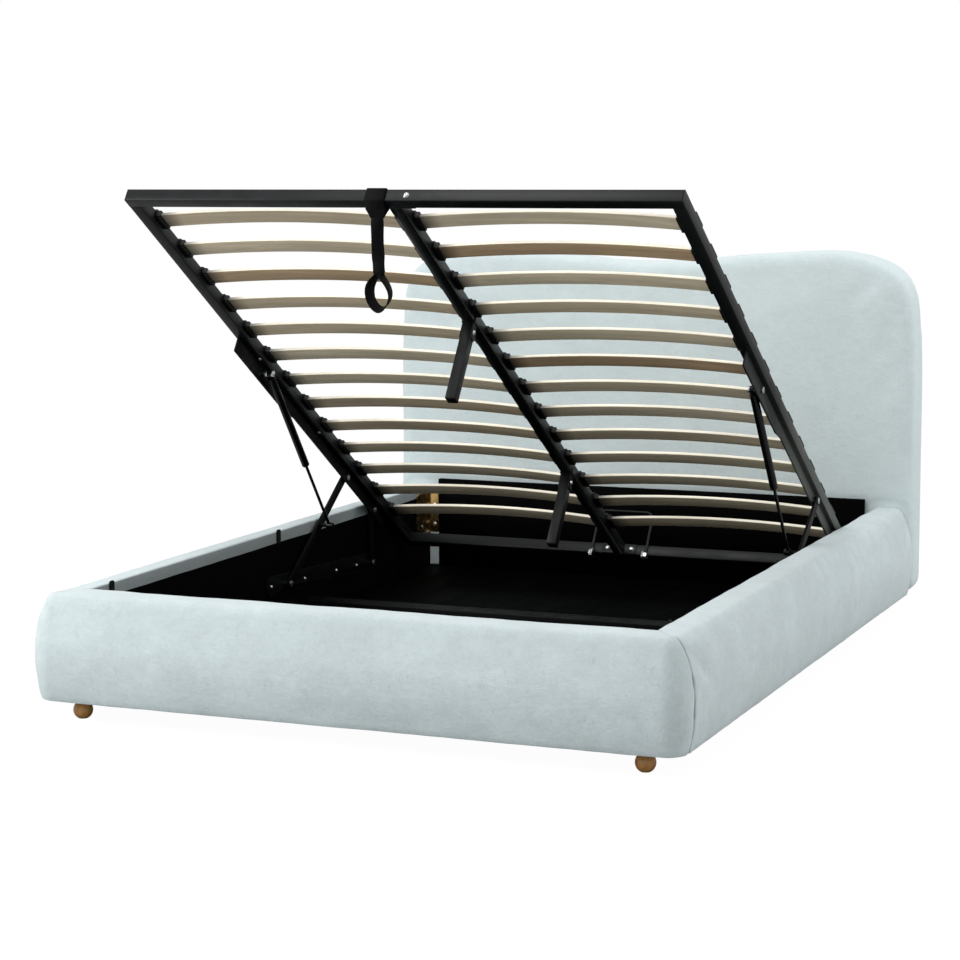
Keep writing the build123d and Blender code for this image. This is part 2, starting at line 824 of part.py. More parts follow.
with BuildPart() as base_screws:
    for side in sides.values():
        plane, depth = side_layer(side, plate_inner - base_screw_head, plate_inner)
        for share in base_screw_shares:
            centre = along(plate_start, plate_end, share)
            add(disc(plane, centre, base_screw_radius, depth))
keep(base_screws, "base_plate_screws")

with BuildPart() as base_pins:
    for side in sides.values():
        for pivot in (front_base_pivot, rear_base_pivot):
            plane, depth = side_layer(side, arm_inner - layer_gap, plate_outer)
            add(disc(plane, pivot, pin_radius, depth))
            plane, depth = side_layer(side, arm_inner - layer_gap - pin_head_height, arm_inner - layer_gap)
            add(disc(plane, pivot, pin_head_radius, depth))
            plane, depth = side_layer(side, arm_outer + layer_gap, plate_inner)
            add(disc(plane, pivot, pin_head_radius, depth))
keep(base_pins, "base_pivot_pins")

# Front arms, with the stub that the gas strut hangs on
for name, side in sides.items():
    with BuildPart() as front_arm:
        plane, depth = side_layer(side, arm_inner, arm_outer)
        holes = [(front_base_pivot, hole_radius), (front_frame_pivot, hole_radius)]
        extrude(bar_sketch(plane, front_base_pivot, front_frame_pivot, arm_width, holes), amount=depth)
        plane, depth = side_layer(side, eye_outer + layer_gap, arm_inner)
        add(disc(plane, strut_foot, pin_radius, depth))
        plane, depth = side_layer(side, arm_outer, arm_outer + arm_wall_gap - layer_gap)
        add(disc(plane, strut_foot, pin_head_radius, depth))
    keep(front_arm, f"front_arm_{name}")

# Rear arms, with the short stub of the upper pivot
for name, side in sides.items():
    with BuildPart() as rear_arm:
        plane, depth = side_layer(side, arm_inner, arm_outer)
        holes = [(rear_base_pivot, hole_radius)]
        extrude(bar_sketch(plane, rear_base_pivot, rear_frame_pivot, arm_width, holes), amount=depth)
        plane, depth = side_layer(side, arm_inner - layer_gap, arm_inner)
        add(disc(plane, rear_frame_pivot, pin_head_radius, depth))
        plane, depth = side_layer(side, arm_outer, arm_outer + arm_wall_gap - layer_gap)
        add(disc(plane, rear_frame_pivot, pin_head_radius, depth))
    keep(rear_arm, f"rear_arm_{name}")

# Lifting plates: an angle under each side tube whose web carries three pivots
flange_start = strut_eye_station - flange_lead
flange_end = frame_length - flange_end_setback
flange_run = flange_end - flange_start
for name, side in sides.items():
    with BuildPart() as lifting_plate:
        start_y, start_z = open_point(flange_start, 0)
        side_plane = Plane(
            origin=(min(side * flange_inner, side * flange_outer), start_y, start_z),
            x_dir=(0, cos(tilt), -sin(tilt)), z_dir=(1, 0, 0),
        )
        with BuildSketch(side_plane):
            with BuildLine():
                FilletPolyline(
                    (0, 0), (0, -flange_deep), (flange_step_run, -flange_deep),
                    (flange_step_run + flange_deep, -flange_shallow),
                    (flange_run, -flange_shallow), (flange_run, 0), (0, 0),
                    radius=flange_foot_thickness,
                )
            make_face()
            for station in (front_pivot_station, rear_pivot_station, strut_eye_station):
                with Locations((station - flange_start, -pivot_drop)):
                    Circle(pin_radius, mode=Mode.SUBTRACT)
        extrude(amount=flange_thickness)
        with Locations(lift_plane):
            with Locations((side * flange_outer, flange_start, 0)):
                Box(
                    flange_foot_width, flange_run, flange_foot_thickness,
                    align=(Align.MAX if side > 0 else Align.MIN, Align.MIN, Align.MAX),
                )
    keep(lifting_plate, f"lifting_plate_{name}")

with BuildPart() as frame_pins:
    for side in sides.values():
        pin_spans = (
            (front_frame_pivot, flange_inner, arm_outer + layer_gap),
            (rear_frame_pivot, flange_inner, arm_inner - 2 * layer_gap),
            (strut_top, eye_inner - layer_gap, flange_outer),
        )
        for pivot, near, far in pin_spans:
            plane, depth = side_layer(side, near, far)
            add(disc(plane, pivot, pin_radius, depth))
        head_spans = (
            (front_frame_pivot, flange_inner - pin_head_height, flange_inner),
            (front_frame_pivot, arm_outer + layer_gap, plate_inner - layer_gap),
            (rear_frame_pivot, flange_inner - pin_head_height, flange_inner),
            (strut_top, eye_inner - layer_gap - pin_head_height, eye_inner - layer_gap),
            (strut_top, eye_outer + layer_gap, flange_inner),
            (strut_top, flange_outer, flange_outer + pin_head_height),
        )
        for pivot, near, far in head_spans:
            plane, depth = side_layer(side, near, far)
            add(disc(plane, pivot, pin_head_radius, depth))
keep(frame_pins, "frame_pivot_pins")

# Bolts of the lift frame: beam ends, legs and lifting plates
with BuildPart(lift_plane) as frame_bolts:
    for side in sides.values():
        for station in (0, frame_length - tube - end_plate_thickness):
            with Locations(Location((side * beam_bolt_spacing / 2, station, tube / 2), (90, 0, 0))):
                Cylinder(
                    bolt_head_radius, bolt_head_height,
                    align=(Align.CENTER, Align.CENTER, Align.MIN),
                )
        for station in leg_stations:
            head_x = side * (leg_width / 2 + leg_bracket_thickness + bolt_head_height / 2)
            with Locations(Location((head_x, station, -leg_bolt_drop), (0, 90, 0))):
                Cylinder(bolt_head_radius, bolt_head_height)
        for share in flange_bolt_shares:
            bolt_x = side * (flange_outer - flange_foot_width + flange_bolt_radius)
            with Locations((bolt_x, flange_start + flange_run * share, -flange_foot_thickness)):
                Cylinder(
                    flange_bolt_radius, flange_bolt_height,
                    align=(Align.CENTER, Align.CENTER, Align.MAX),
                )
keep(frame_bolts, "frame_bolts")

# Gas struts, drawn along their own line from the upper eye to the lower one
strut_length = apart(strut_top, strut_foot)
strut_turn = radians(turn_of(strut_top, strut_foot))
strut_direction = (0, cos(strut_turn), sin(strut_turn))


def strut_bar(side, start, end, radius):
    """Round bar on the strut's line, between two distances from its upper eye."""
    origin = (
        side * strut_middle,
        strut_top[0] + start * strut_direction[1],
        strut_top[1] + start * strut_direction[2],
    )
    with BuildSketch(Plane(origin=origin, x_dir=(1, 0, 0), z_dir=strut_direction)) as round_section:
        Circle(radius)
    return extrude(round_section.sketch, amount=end - start)


for name, side in sides.items():
    eye_plane, eye_depth = side_layer(side, eye_inner, eye_outer)
    with BuildPart() as cylinder:
        add(strut_bar(side, strut_body_start, strut_body_end, strut_body_radius))
        rims = cylinder.edges().filter_by(GeomType.CIRCLE)
        fillet(rims, strut_rim_radius)
        add(strut_bar(side, 0, strut_body_start + strut_rim_radius, strut_neck_radius))
        add(disc(eye_plane, strut_top, strut_eye_radius, eye_depth))
        add(disc(eye_plane, strut_top, hole_radius, eye_depth), mode=Mode.SUBTRACT)
        bore_radius = rod_radius + pin_clearance
        add(strut_bar(side, rod_bore_start, strut_body_end, bore_radius), mode=Mode.SUBTRACT)
    keep(cylinder, f"gas_cylinder_{name}")

    with BuildPart() as rod:
        add(strut_bar(side, strut_body_end - rod_overlap, strut_length, rod_radius))
        add(disc(eye_plane, strut_foot, strut_eye_radius, eye_depth))
        head_plane, head_depth = side_layer(side, eye_inner - pin_head_height, eye_inner)
        add(disc(head_plane, strut_foot, pin_head_radius, head_depth))
    keep(rod, f"gas_rod_{name}")

# Webbing cuff sewn round the foot tube, with its short tab
tab_y = open_point(tube * cuff_tab_share, 0)[0]
tab_z = open_point(tube, 0)[1] - cuff_tab
with BuildPart() as strap_cuff:
    cuff_left = -strap_place - cuff_width / 2
    with BuildSketch(Plane.YZ.offset(cuff_left)):
        inner_near = -bolt_head_height
        inner_far = tube + end_plate_thickness
        near = inner_near - cuff_thickness
        far = inner_far + cuff_thickness
        under = -cuff_thickness
        over = tube + cuff_thickness
        with BuildLine():
            Polyline(
                open_point(near, under), open_point(near, over), open_point(far, over), open_point(far, under),
                (tab_y + strap_thickness / 2, tab_z), (tab_y - strap_thickness / 2, tab_z), close=True,
            )
        make_face()
        with BuildLine():
            Polyline(
                open_point(inner_near, 0), open_point(inner_near, tube),
                open_point(inner_far, tube), open_point(inner_far, 0), close=True,
            )
        make_face(mode=Mode.SUBTRACT)
    extrude(amount=cuff_width)
keep(strap_cuff, "strap_cuff")

# Pull strap: a flat stem that ends in a hand loop, hanging from the tab
strap_axis_z = tab_z - strap_seam_gap - strap_thickness / 2
strap_bottom = open_point(tube, 0)[1] - strap_length
loop_top = open_point(tube, 0)[1] - strap_split
with BuildPart() as pull_strap:
    with BuildSketch(Plane.XZ.offset(-tab_y)) as loop_outline:
        with Locations((-strap_place, (loop_top + strap_bottom) / 2)):
            Ellipse(strap_loop_half_width, (loop_top - strap_bottom) / 2)
            Ellipse(
                strap_loop_half_width - strap_thickness,
                (loop_top - strap_bottom) / 2 - strap_thickness, mode=Mode.SUBTRACT,
            )
    extrude(amount=strap_loop_depth / 2, both=True)
    with BuildSketch(Plane.XZ.offset(-tab_y)):
        with BuildLine():
            half = strap_width / 2
            waist = strap_waist_width / 2
            waist_z = open_point(tube, 0)[1] - strap_waist
            right = [(half, strap_axis_z), (waist, waist_z), (waist, loop_top - strap_thickness / 2)]
            outline = [(-strap_place + x, z) for x, z in right]
            outline += [(-strap_place - x, z) for x, z in reversed(right)]
            Polyline(*outline, close=True)
        make_face()
    extrude(amount=strap_thickness / 2, both=True)
    with Locations(Location((-strap_place, tab_y, strap_axis_z), (0, 90, 0))):
        Cylinder(strap_thickness / 2, strap_width)
keep(pull_strap, "pull_strap")
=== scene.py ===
"""Looks of an upholstered ottoman double bed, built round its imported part.

Metres, in the part's own frame: X to the right seen from the foot end, Y to the headboard, Z up.
"""
import math

import bmesh
import bpy
from mathutils import Matrix, Vector, noise


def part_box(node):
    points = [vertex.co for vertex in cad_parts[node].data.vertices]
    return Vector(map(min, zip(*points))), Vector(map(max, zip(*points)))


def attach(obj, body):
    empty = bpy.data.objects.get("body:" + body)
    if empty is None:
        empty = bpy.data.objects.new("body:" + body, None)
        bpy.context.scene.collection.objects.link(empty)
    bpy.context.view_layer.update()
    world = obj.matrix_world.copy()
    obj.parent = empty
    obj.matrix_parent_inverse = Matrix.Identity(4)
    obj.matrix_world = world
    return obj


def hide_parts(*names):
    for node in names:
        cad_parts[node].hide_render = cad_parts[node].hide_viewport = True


bl_info = {
    "name": "Ottoman double bed",
    "version": (1, 0, 0),
    "blender": (4, 5, 0),
    "location": "View3D > Sidebar > Bed",
    "description": "Upholsters and finishes a storage bed round its fixed frame",
    "category": "Object",
}

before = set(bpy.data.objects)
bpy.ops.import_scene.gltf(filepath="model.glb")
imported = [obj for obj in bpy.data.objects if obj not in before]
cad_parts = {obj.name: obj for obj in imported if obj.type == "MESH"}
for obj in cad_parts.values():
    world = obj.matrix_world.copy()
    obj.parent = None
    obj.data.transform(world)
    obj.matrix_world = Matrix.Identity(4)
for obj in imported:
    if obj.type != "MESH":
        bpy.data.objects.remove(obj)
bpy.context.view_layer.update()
MM = 0.001
SIDES = {"left": -1, "right": 1}

# Plan of the base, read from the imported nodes
BASE_LOW, BASE_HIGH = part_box("foot_rail_upholstery")
HEAD_LOW, HEAD_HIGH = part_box("headboard_upholstery")
LINING_LOW, LINING_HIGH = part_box("box_lining")
HALF_WIDTH = BASE_HIGH.x
FOOT_Y = BASE_LOW.y
RAIL_TOP = BASE_HIGH.z
RAIL_BOTTOM = BASE_LOW.z
HEAD_FRONT = HEAD_LOW.y
WALL_X = HALF_WIDTH - 103 * MM
WALL_Y = FOOT_Y + 118 * MM
SEAM_Y = FOOT_Y + 65 * MM
CORNER = 60 * MM
AXIS_X = HALF_WIDTH - CORNER
AXIS_Y = FOOT_Y + CORNER

# Lift frame at rest: its foot end, and the way that it slopes down to the head end
TILT = math.radians(33.8)
FOOT_END = Vector((0, -777.9 * MM, 1170 * MM))
DOWN_FRAME = Vector((0, math.cos(TILT), -math.sin(TILT)))
UP_FRAME = Vector((0, math.sin(TILT), math.cos(TILT)))
FRAME_LENGTH = 1857 * MM
FRAME_HALF = 675 * MM
TUBE = 30 * MM


def on_frame(x, station, rise):
    """Place of a point given along and above the lift frame."""
    return FOOT_END + Vector((x, 0, 0)) + DOWN_FRAME * station + UP_FRAME * rise


def linear(code):
    """Linear colour of an sRGB hex value."""
    parts = [int(code[i:i + 2], 16) / 255 for i in (1, 3, 5)]
    return tuple(p / 12.92 if p <= 0.04045 else ((p + 0.055) / 1.055) ** 2.4 for p in parts) + (1.0,)


def add(tree, kind, inputs=None, **settings):
    """Adds a node, sets its properties, and fills its inputs with values or links."""
    made = tree.nodes.new(kind)
    for name, value in settings.items():
        setattr(made, name, value)
    for key, value in (inputs or {}).items():
        if isinstance(value, bpy.types.NodeSocket):
            tree.links.new(value, made.inputs[key])
        else:
            made.inputs[key].default_value = value
    return made


def colour(name):
    """A finish's colour from the panel, as a shader takes it."""
    return tuple(getattr(bpy.context.scene.bed_colours, name)) + (1.0,)


def shade(name, amount):
    """A panel colour made darker or lighter by a share."""
    return tuple(min(1.0, c * amount) for c in colour(name)[:3]) + (1.0,)


# Where the right tube's paler grey-green tint begins and is full, and how far a slat is darkened by painted
# shadow from its holder
TINT_FROM, TINT_FULL = -20 * MM, 200 * MM
PAINTED_SHADOW_FULL, PAINTED_SHADOW_REACH = 10 * MM, 55 * MM


class Coat:
    """A new material: its shader, its running tone, and the object coordinates that its patterns read."""

    def __init__(self, name, **shader):
        self.material = bpy.data.materials.new(name)
        self.material.use_nodes = True
        self.tree = self.material.node_tree
        self.tree.nodes.clear()
        values = {key.replace("_", " "): value for key, value in shader.items()}
        self.shader = self.add("ShaderNodeBsdfPrincipled", values)
        self.add("ShaderNodeOutputMaterial", {"Surface": self.shader.outputs[0]})
        self.place = self.add("ShaderNodeTexCoord").outputs["Object"]
        self.code, self.tone, self.bump = None, None, None

    def add(self, kind, inputs=None, **settings):
        """Adds a node to this material."""
        return add(self.tree, kind, inputs, **settings)

    def span(self, value, low, high, to_low=0.0, to_high=1.0):
        """A value's span mapped to another, held at both ends."""
        return self.add("ShaderNodeMapRange", {
            "Value": value, "From Min": low, "From Max": high, "To Min": to_low, "To Max": to_high,
        }).outputs[0]

    def grain(self, scale, low=None, high=None, stretch=(1, 1, 1), detail=3.0, rough=0.55):
        """Noise over stretched coordinates, scale in waves per metre; a span given of it fills 0 to 1."""
        turned = self.add("ShaderNodeMapping", {"Vector": self.place, "Scale": stretch})
        made = self.add("ShaderNodeTexNoise", {
            "Vector": turned.outputs[0], "Scale": scale, "Detail": detail, "Roughness": rough})
        return made.outputs["Fac"] if low is None else self.span(made.outputs["Fac"], low, high)

    def stored(self, name):
        """A value that the mesh keeps for each point."""
        return self.add("ShaderNodeAttribute", attribute_name=name).outputs["Fac"]

    def along(self, axis):
        """How far a place lies along one axis."""
        return self.add("ShaderNodeSeparateXYZ", {"Vector": self.place}).outputs[axis]

    def mixed(self, factor, first, second, way="MIX"):
        """Two colours mixed by a factor."""
        return self.add("ShaderNodeMix", {0: factor, 6: first, 7: second},
                        data_type="RGBA", blend_type=way).outputs[2]

    def base(self, factor, code, low, high, share=1.0):
        """Starts the tone between a darker and a lighter shade of a panel colour."""
        self.code, self.tone = code, shade(code, low)
        self.layer(factor, high, share)

    def layer(self, factor, amount, share=1.0, code=None):
        """Lays a shade over the running tone, where a factor says and by a share at most."""
        if share < 1.0:
            factor = self.span(factor, 0, 1, 0.0, share)
        self.tone = self.mixed(factor, self.tone, shade(code or self.code, amount))

    def raised(self, height, depth, strength):
        """Gives the surface a bump of a depth in metres, over the bumps that it has."""
        inputs = {"Height": height, "Distance": depth, "Strength": strength}
        if self.bump is not None:
            inputs["Normal"] = self.bump
        self.bump = self.add("ShaderNodeBump", inputs).outputs[0]

    def done(self, roughness=None):
        """Links the tone, the bumps and the roughness, and gives the material."""
        for socket, value in (("Base Color", self.tone), ("Normal", self.bump), ("Roughness", roughness)):
            if value is not None:
                self.tree.links.new(value, self.shader.inputs[socket])
        return self.material


def woven_velvet():
    """Polyester velvet, short cut pile, brushed: soft mottling where the pile lies both ways."""
    coat = Coat("velvet_polyester_brushed", Roughness=0.92, Sheen_Weight=0.35, Sheen_Roughness=0.45,
                Sheen_Tint=linear("#F2F6F8"), Specular_IOR_Level=0.18)
    # hand-sized cloudy patches, strokes of 8 to 30 mm where the pile was brushed, and small marks
    stroke = coat.grain(30.0, 0.36, 0.64, (0.7, 0.7, 0.9), 6.0, 0.72)
    coat.base(coat.grain(5.0, 0.35, 0.65, (1, 1, 0.8), 4.0, 0.6), "velvet", 0.91, 1.05)
    coat.layer(stroke, 0.80, 0.55)
    coat.layer(coat.grain(150.0, 0.32, 0.68, (1, 1, 0.7), 4.0, 0.7), 1.16, 0.3)
    coat.layer(coat.grain(70.0, 0.6, 0.72, (1, 1, 0.6), 4.0, 0.75), 0.6, 0.38)
    # painted shade darkens the flap, the corner seams and the rails' tops, and painted light makes the whole
    # headboard paler
    coat.layer(coat.stored("laid"), 0.3)
    coat.layer(coat.stored("brushed"), 1.25)
    # the pile is drawn at 2 mm, coarser than its threads, so that it shows
    coat.raised(stroke, 0.0012, 0.55)
    coat.raised(coat.grain(480.0, detail=2.0), 0.0006, 0.6)
    return coat.done()


def powder_coat(name, code, rough, gloss=0.2, dusty=False):
    """Mild steel, black powder coat: a fine orange peel with a soft highlight, greyer where rubbed."""
    coat = Coat(name, Roughness=rough, Specular_IOR_Level=gloss)
    wear_and_shadow = coat.grain(14.0, 0.48, 0.72, detail=5.0)
    coat.base(wear_and_shadow, code, 0.8, 1.6, 0.5)
    coat.layer(coat.grain(600.0, 0.4, 0.75, detail=2.0), 2.2, 0.3)
    if dusty:
        # the right side's lower half, towards the head end, is paler and greener
        coat.layer(coat.span(coat.along("Y"), TINT_FROM, TINT_FULL), 1.0, 0.75, "dust")
    coat.raised(coat.grain(900.0, detail=1.0), 0.0002, 0.35)
    return coat.done(coat.span(wear_and_shadow, 0, 1, rough - 0.06, rough + 0.1))


def bent_beech(name, code, edge):
    """Laminated beech, bent and sealed: long grain along the slat, short pores, a tone for each slat."""
    coat = Coat(name, Roughness=0.55, Specular_IOR_Level=0.35)
    fibre = coat.grain(70.0, 0.34, 0.66, (0.04, 1, 1), 5.0, 0.6)
    coat.base(fibre, code, 0.78, 1.1)
    if not edge:
        coat.layer(coat.grain(4.0, 0.35, 0.65, (1, 2, 2), 3.0), 0.8, 0.4)
        warm = coat.mixed(fibre, shade("slat_warm", 0.7), shade("slat_warm", 1.15))
        coat.tone = coat.mixed(coat.span(coat.stored("tone"), 0.5, 2.0, 0.0, 0.9), coat.tone, warm)
    coat.layer(coat.grain(420.0, 0.52, 0.72, (0.08, 1, 1), 2.0), 0.6, 0.35)
    # painted shadow: each strip is darkened near its left holder, where the holder's shadow falls
    across = coat.along("X")
    for end in (TUBE / 2 + SLAT_GAP, -(FRAME_HALF - TUBE - SLAT_GAP)):
        wear_and_shadow = coat.span(across, end + PAINTED_SHADOW_FULL, end + PAINTED_SHADOW_REACH, 0.85, 0.0)
        begun = coat.span(across, end - 6 * MM, end - 5 * MM)
        coat.layer(coat.add("ShaderNodeMath", {0: wear_and_shadow, 1: begun}, operation="MULTIPLY").outputs[0],
                   2.0, code="steel")
    coat.raised(fibre, 0.0002, 0.4)
    return coat.done()


def turned_oak():
    """Oak, turned and lacquered: upright figure with darker pores under a satin coat."""
    coat = Coat("oak_turned_lacquered", Roughness=0.42, Coat_Weight=0.35, Coat_Roughness=0.22)
    figure = coat.grain(90.0, 0.3, 0.7, (1, 1, 0.12), 5.0, 0.6)
    coat.base(figure, "oak", 0.72, 1.12)
    coat.layer(coat.grain(700.0, 0.52, 0.7, (1, 1, 0.08), 2.0), 0.5, 0.5)
    coat.raised(figure, 0.0002, 0.3)
    return coat.done()


def sawn_pine():
    """Pine, sawn and left raw: pale with streaks of latewood."""
    coat = Coat("pine_sawn", Roughness=0.75, Specular_IOR_Level=0.3)
    streak = coat.grain(40.0, 0.35, 0.65, (1, 0.05, 1), 4.0)
    coat.base(streak, "pine", 0.7, 1.05)
    coat.raised(streak, 0.0003, 0.4)
    return coat.done()


def moulded_plastic():
    """Polypropylene, injection moulded: even, with a fine spark-eroded grain."""
    coat = Coat("polypropylene_moulded", Roughness=0.5, Specular_IOR_Level=0.25, IOR=1.49)
    coat.base(coat.grain(25.0, 0.3, 0.7), "plastic", 0.85, 1.25)
    coat.raised(coat.grain(1200.0, detail=1.0), 0.0001, 0.4)
    return coat.done()


def plated_steel(name, code, patchy):
    """Steel, electroplated zinc: a bright metal with cloudy passivation and fine drawn scratches."""
    coat = Coat(name, Metallic=1.0)
    scratch = coat.grain(900.0, 0.45, 0.7, (1, 1, 0.08), 2.0)
    coat.tone = shade(code, 1.0)
    coat.layer(coat.grain(60.0, 0.35, 0.65, detail=4.0), 1.0, patchy, "zinc_tint")
    coat.raised(scratch, 0.00005, 0.3)
    return coat.done(coat.span(scratch, 0, 1, 0.24, 0.42))


def spun_lining():
    """Polypropylene, spunbond: matte black cloth with small bonded dimples and creases."""
    coat = Coat("polypropylene_spunbond", Roughness=0.95, Specular_IOR_Level=0.04)
    crease = coat.grain(9.0, 0.4, 0.62, (1, 1, 0.5), 4.0)
    dimple = coat.add("ShaderNodeTexVoronoi", {"Vector": coat.place, "Scale": 320.0})
    coat.base(crease, "lining", 0.8, 1.5)
    coat.raised(crease, 0.0015, 0.3)
    coat.raised(dimple.outputs["Distance"], 0.0003, 0.35)
    return coat.done()


def faced_board():
    """Hardboard, lacquered black: a low satin sheen over faint roller marks."""
    coat = Coat("hardboard_black_lacquered", Roughness=0.7, Specular_IOR_Level=0.02)
    roller = coat.grain(22.0, 0.35, 0.65, (1, 0.15, 1), 4.0)
    coat.base(roller, "lining", 0.8, 1.3)
    coat.raised(coat.grain(500.0), 0.0001, 0.3)
    return coat.done(coat.span(roller, 0, 1, 0.55, 0.7))


def black_webbing():
    """Polypropylene webbing, woven: slanting ribs over cross ribs, with a dull shine."""
    coat = Coat("polypropylene_webbing_woven", Roughness=0.7, Specular_IOR_Level=0.08, Sheen_Weight=0.02)
    turned = coat.add("ShaderNodeMapping", {"Vector": coat.place, "Rotation": (0, math.radians(45), 0)})
    rib = coat.add("ShaderNodeTexWave", {
        "Vector": turned.outputs[0], "Scale": 160.0, "Distortion": 0.6, "Detail": 1.0}, bands_direction="X")
    cross = coat.add("ShaderNodeTexWave", {
        "Vector": coat.place, "Scale": 210.0, "Distortion": 0.4}, bands_direction="Z")
    weave = coat.mixed(0.5, rib.outputs["Fac"], cross.outputs["Fac"], "MULTIPLY")
    coat.base(weave, "webbing", 0.6, 1.7)
    coat.raised(weave, 0.0005, 0.8)
    return coat.done()


def vulcanised_rubber():
    """Natural rubber, moulded: dull black, greyed by bloom."""
    coat = Coat("rubber_moulded", Roughness=0.78, Specular_IOR_Level=0.2)
    coat.base(coat.grain(120.0, 0.4, 0.7), "webbing", 0.8, 1.8)
    coat.raised(coat.grain(900.0), 0.0001, 0.3)
    return coat.done()


MAKERS = {
    "velvet": woven_velvet,
    "black_steel": lambda: powder_coat("steel_powder_coated", "steel", 0.42),
    "dark_plate": lambda: powder_coat("steel_plate_powder_coated", "plate", 0.55, 0.08),
    "tinted_steel": lambda: powder_coat("steel_powder_coated_dusty", "steel", 0.5, dusty=True),
    "black_rod": lambda: powder_coat("steel_rod_nitrided", "plate", 0.3),
    "beech_slat": lambda: bent_beech("beech_laminated_sealed", "slat", False),
    # the slats' edges are paler than their faces: partly the planed beech, partly painted light on the edges
    # that face the lamps
    "slat_edge": lambda: bent_beech("beech_planed_edge", "slat_edge", True),
    "oak_foot": turned_oak,
    "pine_board": sawn_pine,
    "black_plastic": moulded_plastic,
    "bright_zinc": lambda: plated_steel("steel_zinc_bright", "zinc", 0.3),
    "yellow_zinc": lambda: plated_steel("steel_zinc_yellow", "yellow_zinc", 0.25),
    "black_lining": spun_lining,
    "black_board": faced_board,
    "black_webbing": black_webbing,
    "black_rubber": vulcanised_rubber,
}
made_finishes = {}


def finish(name):
    """The material of a finish, made once."""
    if name not in made_finishes:
        made_finishes[name] = MAKERS[name]()
    return made_finishes[name]


def mesh_piece(name, points, faces, *finishes):
    """A new mesh object at the origin, with its places in its mesh."""
    mesh = bpy.data.meshes.new(name)
    mesh.from_pydata([tuple(p) for p in points], [], faces)
    for entry in finishes:
        mesh.materials.append(finish(entry))
    obj = bpy.data.objects.new(name, mesh)
    bpy.context.scene.collection.objects.link(obj)
    return obj


def close_up(obj, merge=0.05 * MM, fill=False):
    """Merges doubles, fills open ends if asked, and turns the faces outwards."""
    work = bmesh.new()
    work.from_mesh(obj.data)
    bmesh.ops.remove_doubles(work, verts=work.verts, dist=merge)
    if fill:
        bmesh.ops.holes_fill(work, edges=[e for e in work.edges if e.is_boundary])
    bmesh.ops.dissolve_degenerate(work, edges=work.edges, dist=merge)
    bmesh.ops.recalc_face_normals(work, faces=work.faces)
    work.to_mesh(obj.data)
    work.free()
    return obj


def plain(obj):
    """Turns a piece and its modifiers into a plain mesh."""
    graph = bpy.context.evaluated_depsgraph_get()
    mesh = bpy.data.meshes.new_from_object(obj.evaluated_get(graph))
    obj.modifiers.clear()
    obj.data = mesh
    return obj


def smooth(obj, angle=40):
    """Shades a piece smooth, but for edges sharper than an angle in degrees."""
    mesh = obj.data
    mesh.polygons.foreach_set("use_smooth", [True] * len(mesh.polygons))
    mesh.set_sharp_from_angle(angle=math.radians(angle))
    return obj


def settle(obj, body, slot, *nodes, angle=40):
    """Ends a piece: its shading, the nodes that it stands for, which it hides, and the body that it rides on.
    The slot that it is given is not used.
    """
    smooth(obj, angle)
    if nodes:
        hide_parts(*nodes)
    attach(obj, body)
    return obj


def sheet_faces(rows, columns, wrap=False):
    """Faces of a grid of points, row by row; a wrapped grid closes each row on itself."""
    across = columns if wrap else columns - 1
    return [
        (r * columns + c, r * columns + (c + 1) % columns,
         (r + 1) * columns + (c + 1) % columns, (r + 1) * columns + c)
        for r in range(rows - 1) for c in range(across)
    ]


def spaced(line, gap):
    """A line of places laid out again at an even gap."""
    runs = [0.0]
    for a, b in zip(line, line[1:]):
        runs.append(runs[-1] + (b - a).length)
    count = max(2, round(runs[-1] / gap) + 1)
    placed, at = [], 0
    for step in range(count):
        target = runs[-1] * step / (count - 1)
        while at < len(line) - 2 and runs[at + 1] < target:
            at += 1
        span = runs[at + 1] - runs[at] or 1.0
        placed.append(line[at].lerp(line[at + 1], min(1.0, (target - runs[at]) / span)))
    return placed


def softened(line, gap, rounds):
    """A line with its corners rounded by repeated averaging, its ends held."""
    line = spaced(line, gap)
    for _ in range(rounds):
        line = [line[0]] + [
            (a + b * 2 + c) / 4 for a, b, c in zip(line, line[1:], line[2:])
        ] + [line[-1]]
    return line


def thinned(line, gap, turn):
    """Places of a dense line, kept at a gap, or sooner where it has turned by an angle in degrees."""
    kept, run = [0], 0.0
    for k in range(1, len(line) - 1):
        run += (line[k] - line[k - 1]).length
        before = line[kept[-1] + 1] - line[kept[-1]]
        if run >= gap or before.angle(line[k + 1] - line[k]) > math.radians(turn):
            kept.append(k)
            run = 0.0
    return [line[k] for k in kept] + [line[-1]]


def swell(obj, held, pressure, cap, frames=20):
    """Runs cloth under pressure on a piece whose held points stay, and keeps each point within a cap."""
    start = [v.co.copy() for v in obj.data.vertices]
    group = obj.vertex_groups.new(name="held")
    group.add(held, 1.0, "REPLACE")
    cloth = obj.modifiers.new("Swell", "CLOTH")
    cloth.settings.vertex_group_mass = "held"
    cloth.settings.use_pressure = True
    cloth.settings.uniform_pressure_force = pressure
    cloth.settings.tension_stiffness = 25
    cloth.settings.compression_stiffness = 25
    cloth.settings.bending_stiffness = 2.0
    cloth.settings.effector_weights.gravity = 0.0
    cloth.collision_settings.use_collision = False
    cloth.point_cache.frame_start = 1
    cloth.point_cache.frame_end = frames
    scene = bpy.context.scene
    for number in range(1, frames + 1):
        scene.frame_set(number)
    graph = bpy.context.evaluated_depsgraph_get()
    moved = [v.co.copy() for v in obj.evaluated_get(graph).data.vertices]
    obj.modifiers.remove(cloth)
    obj.vertex_groups.remove(group)
    scene.frame_set(1)
    for vertex, old, new in zip(obj.data.vertices, start, moved):
        shift = new - old
        reach = shift.length
        vertex.co = old + shift * (cap * math.tanh(reach / cap) / reach if reach > 0 else 0.0)


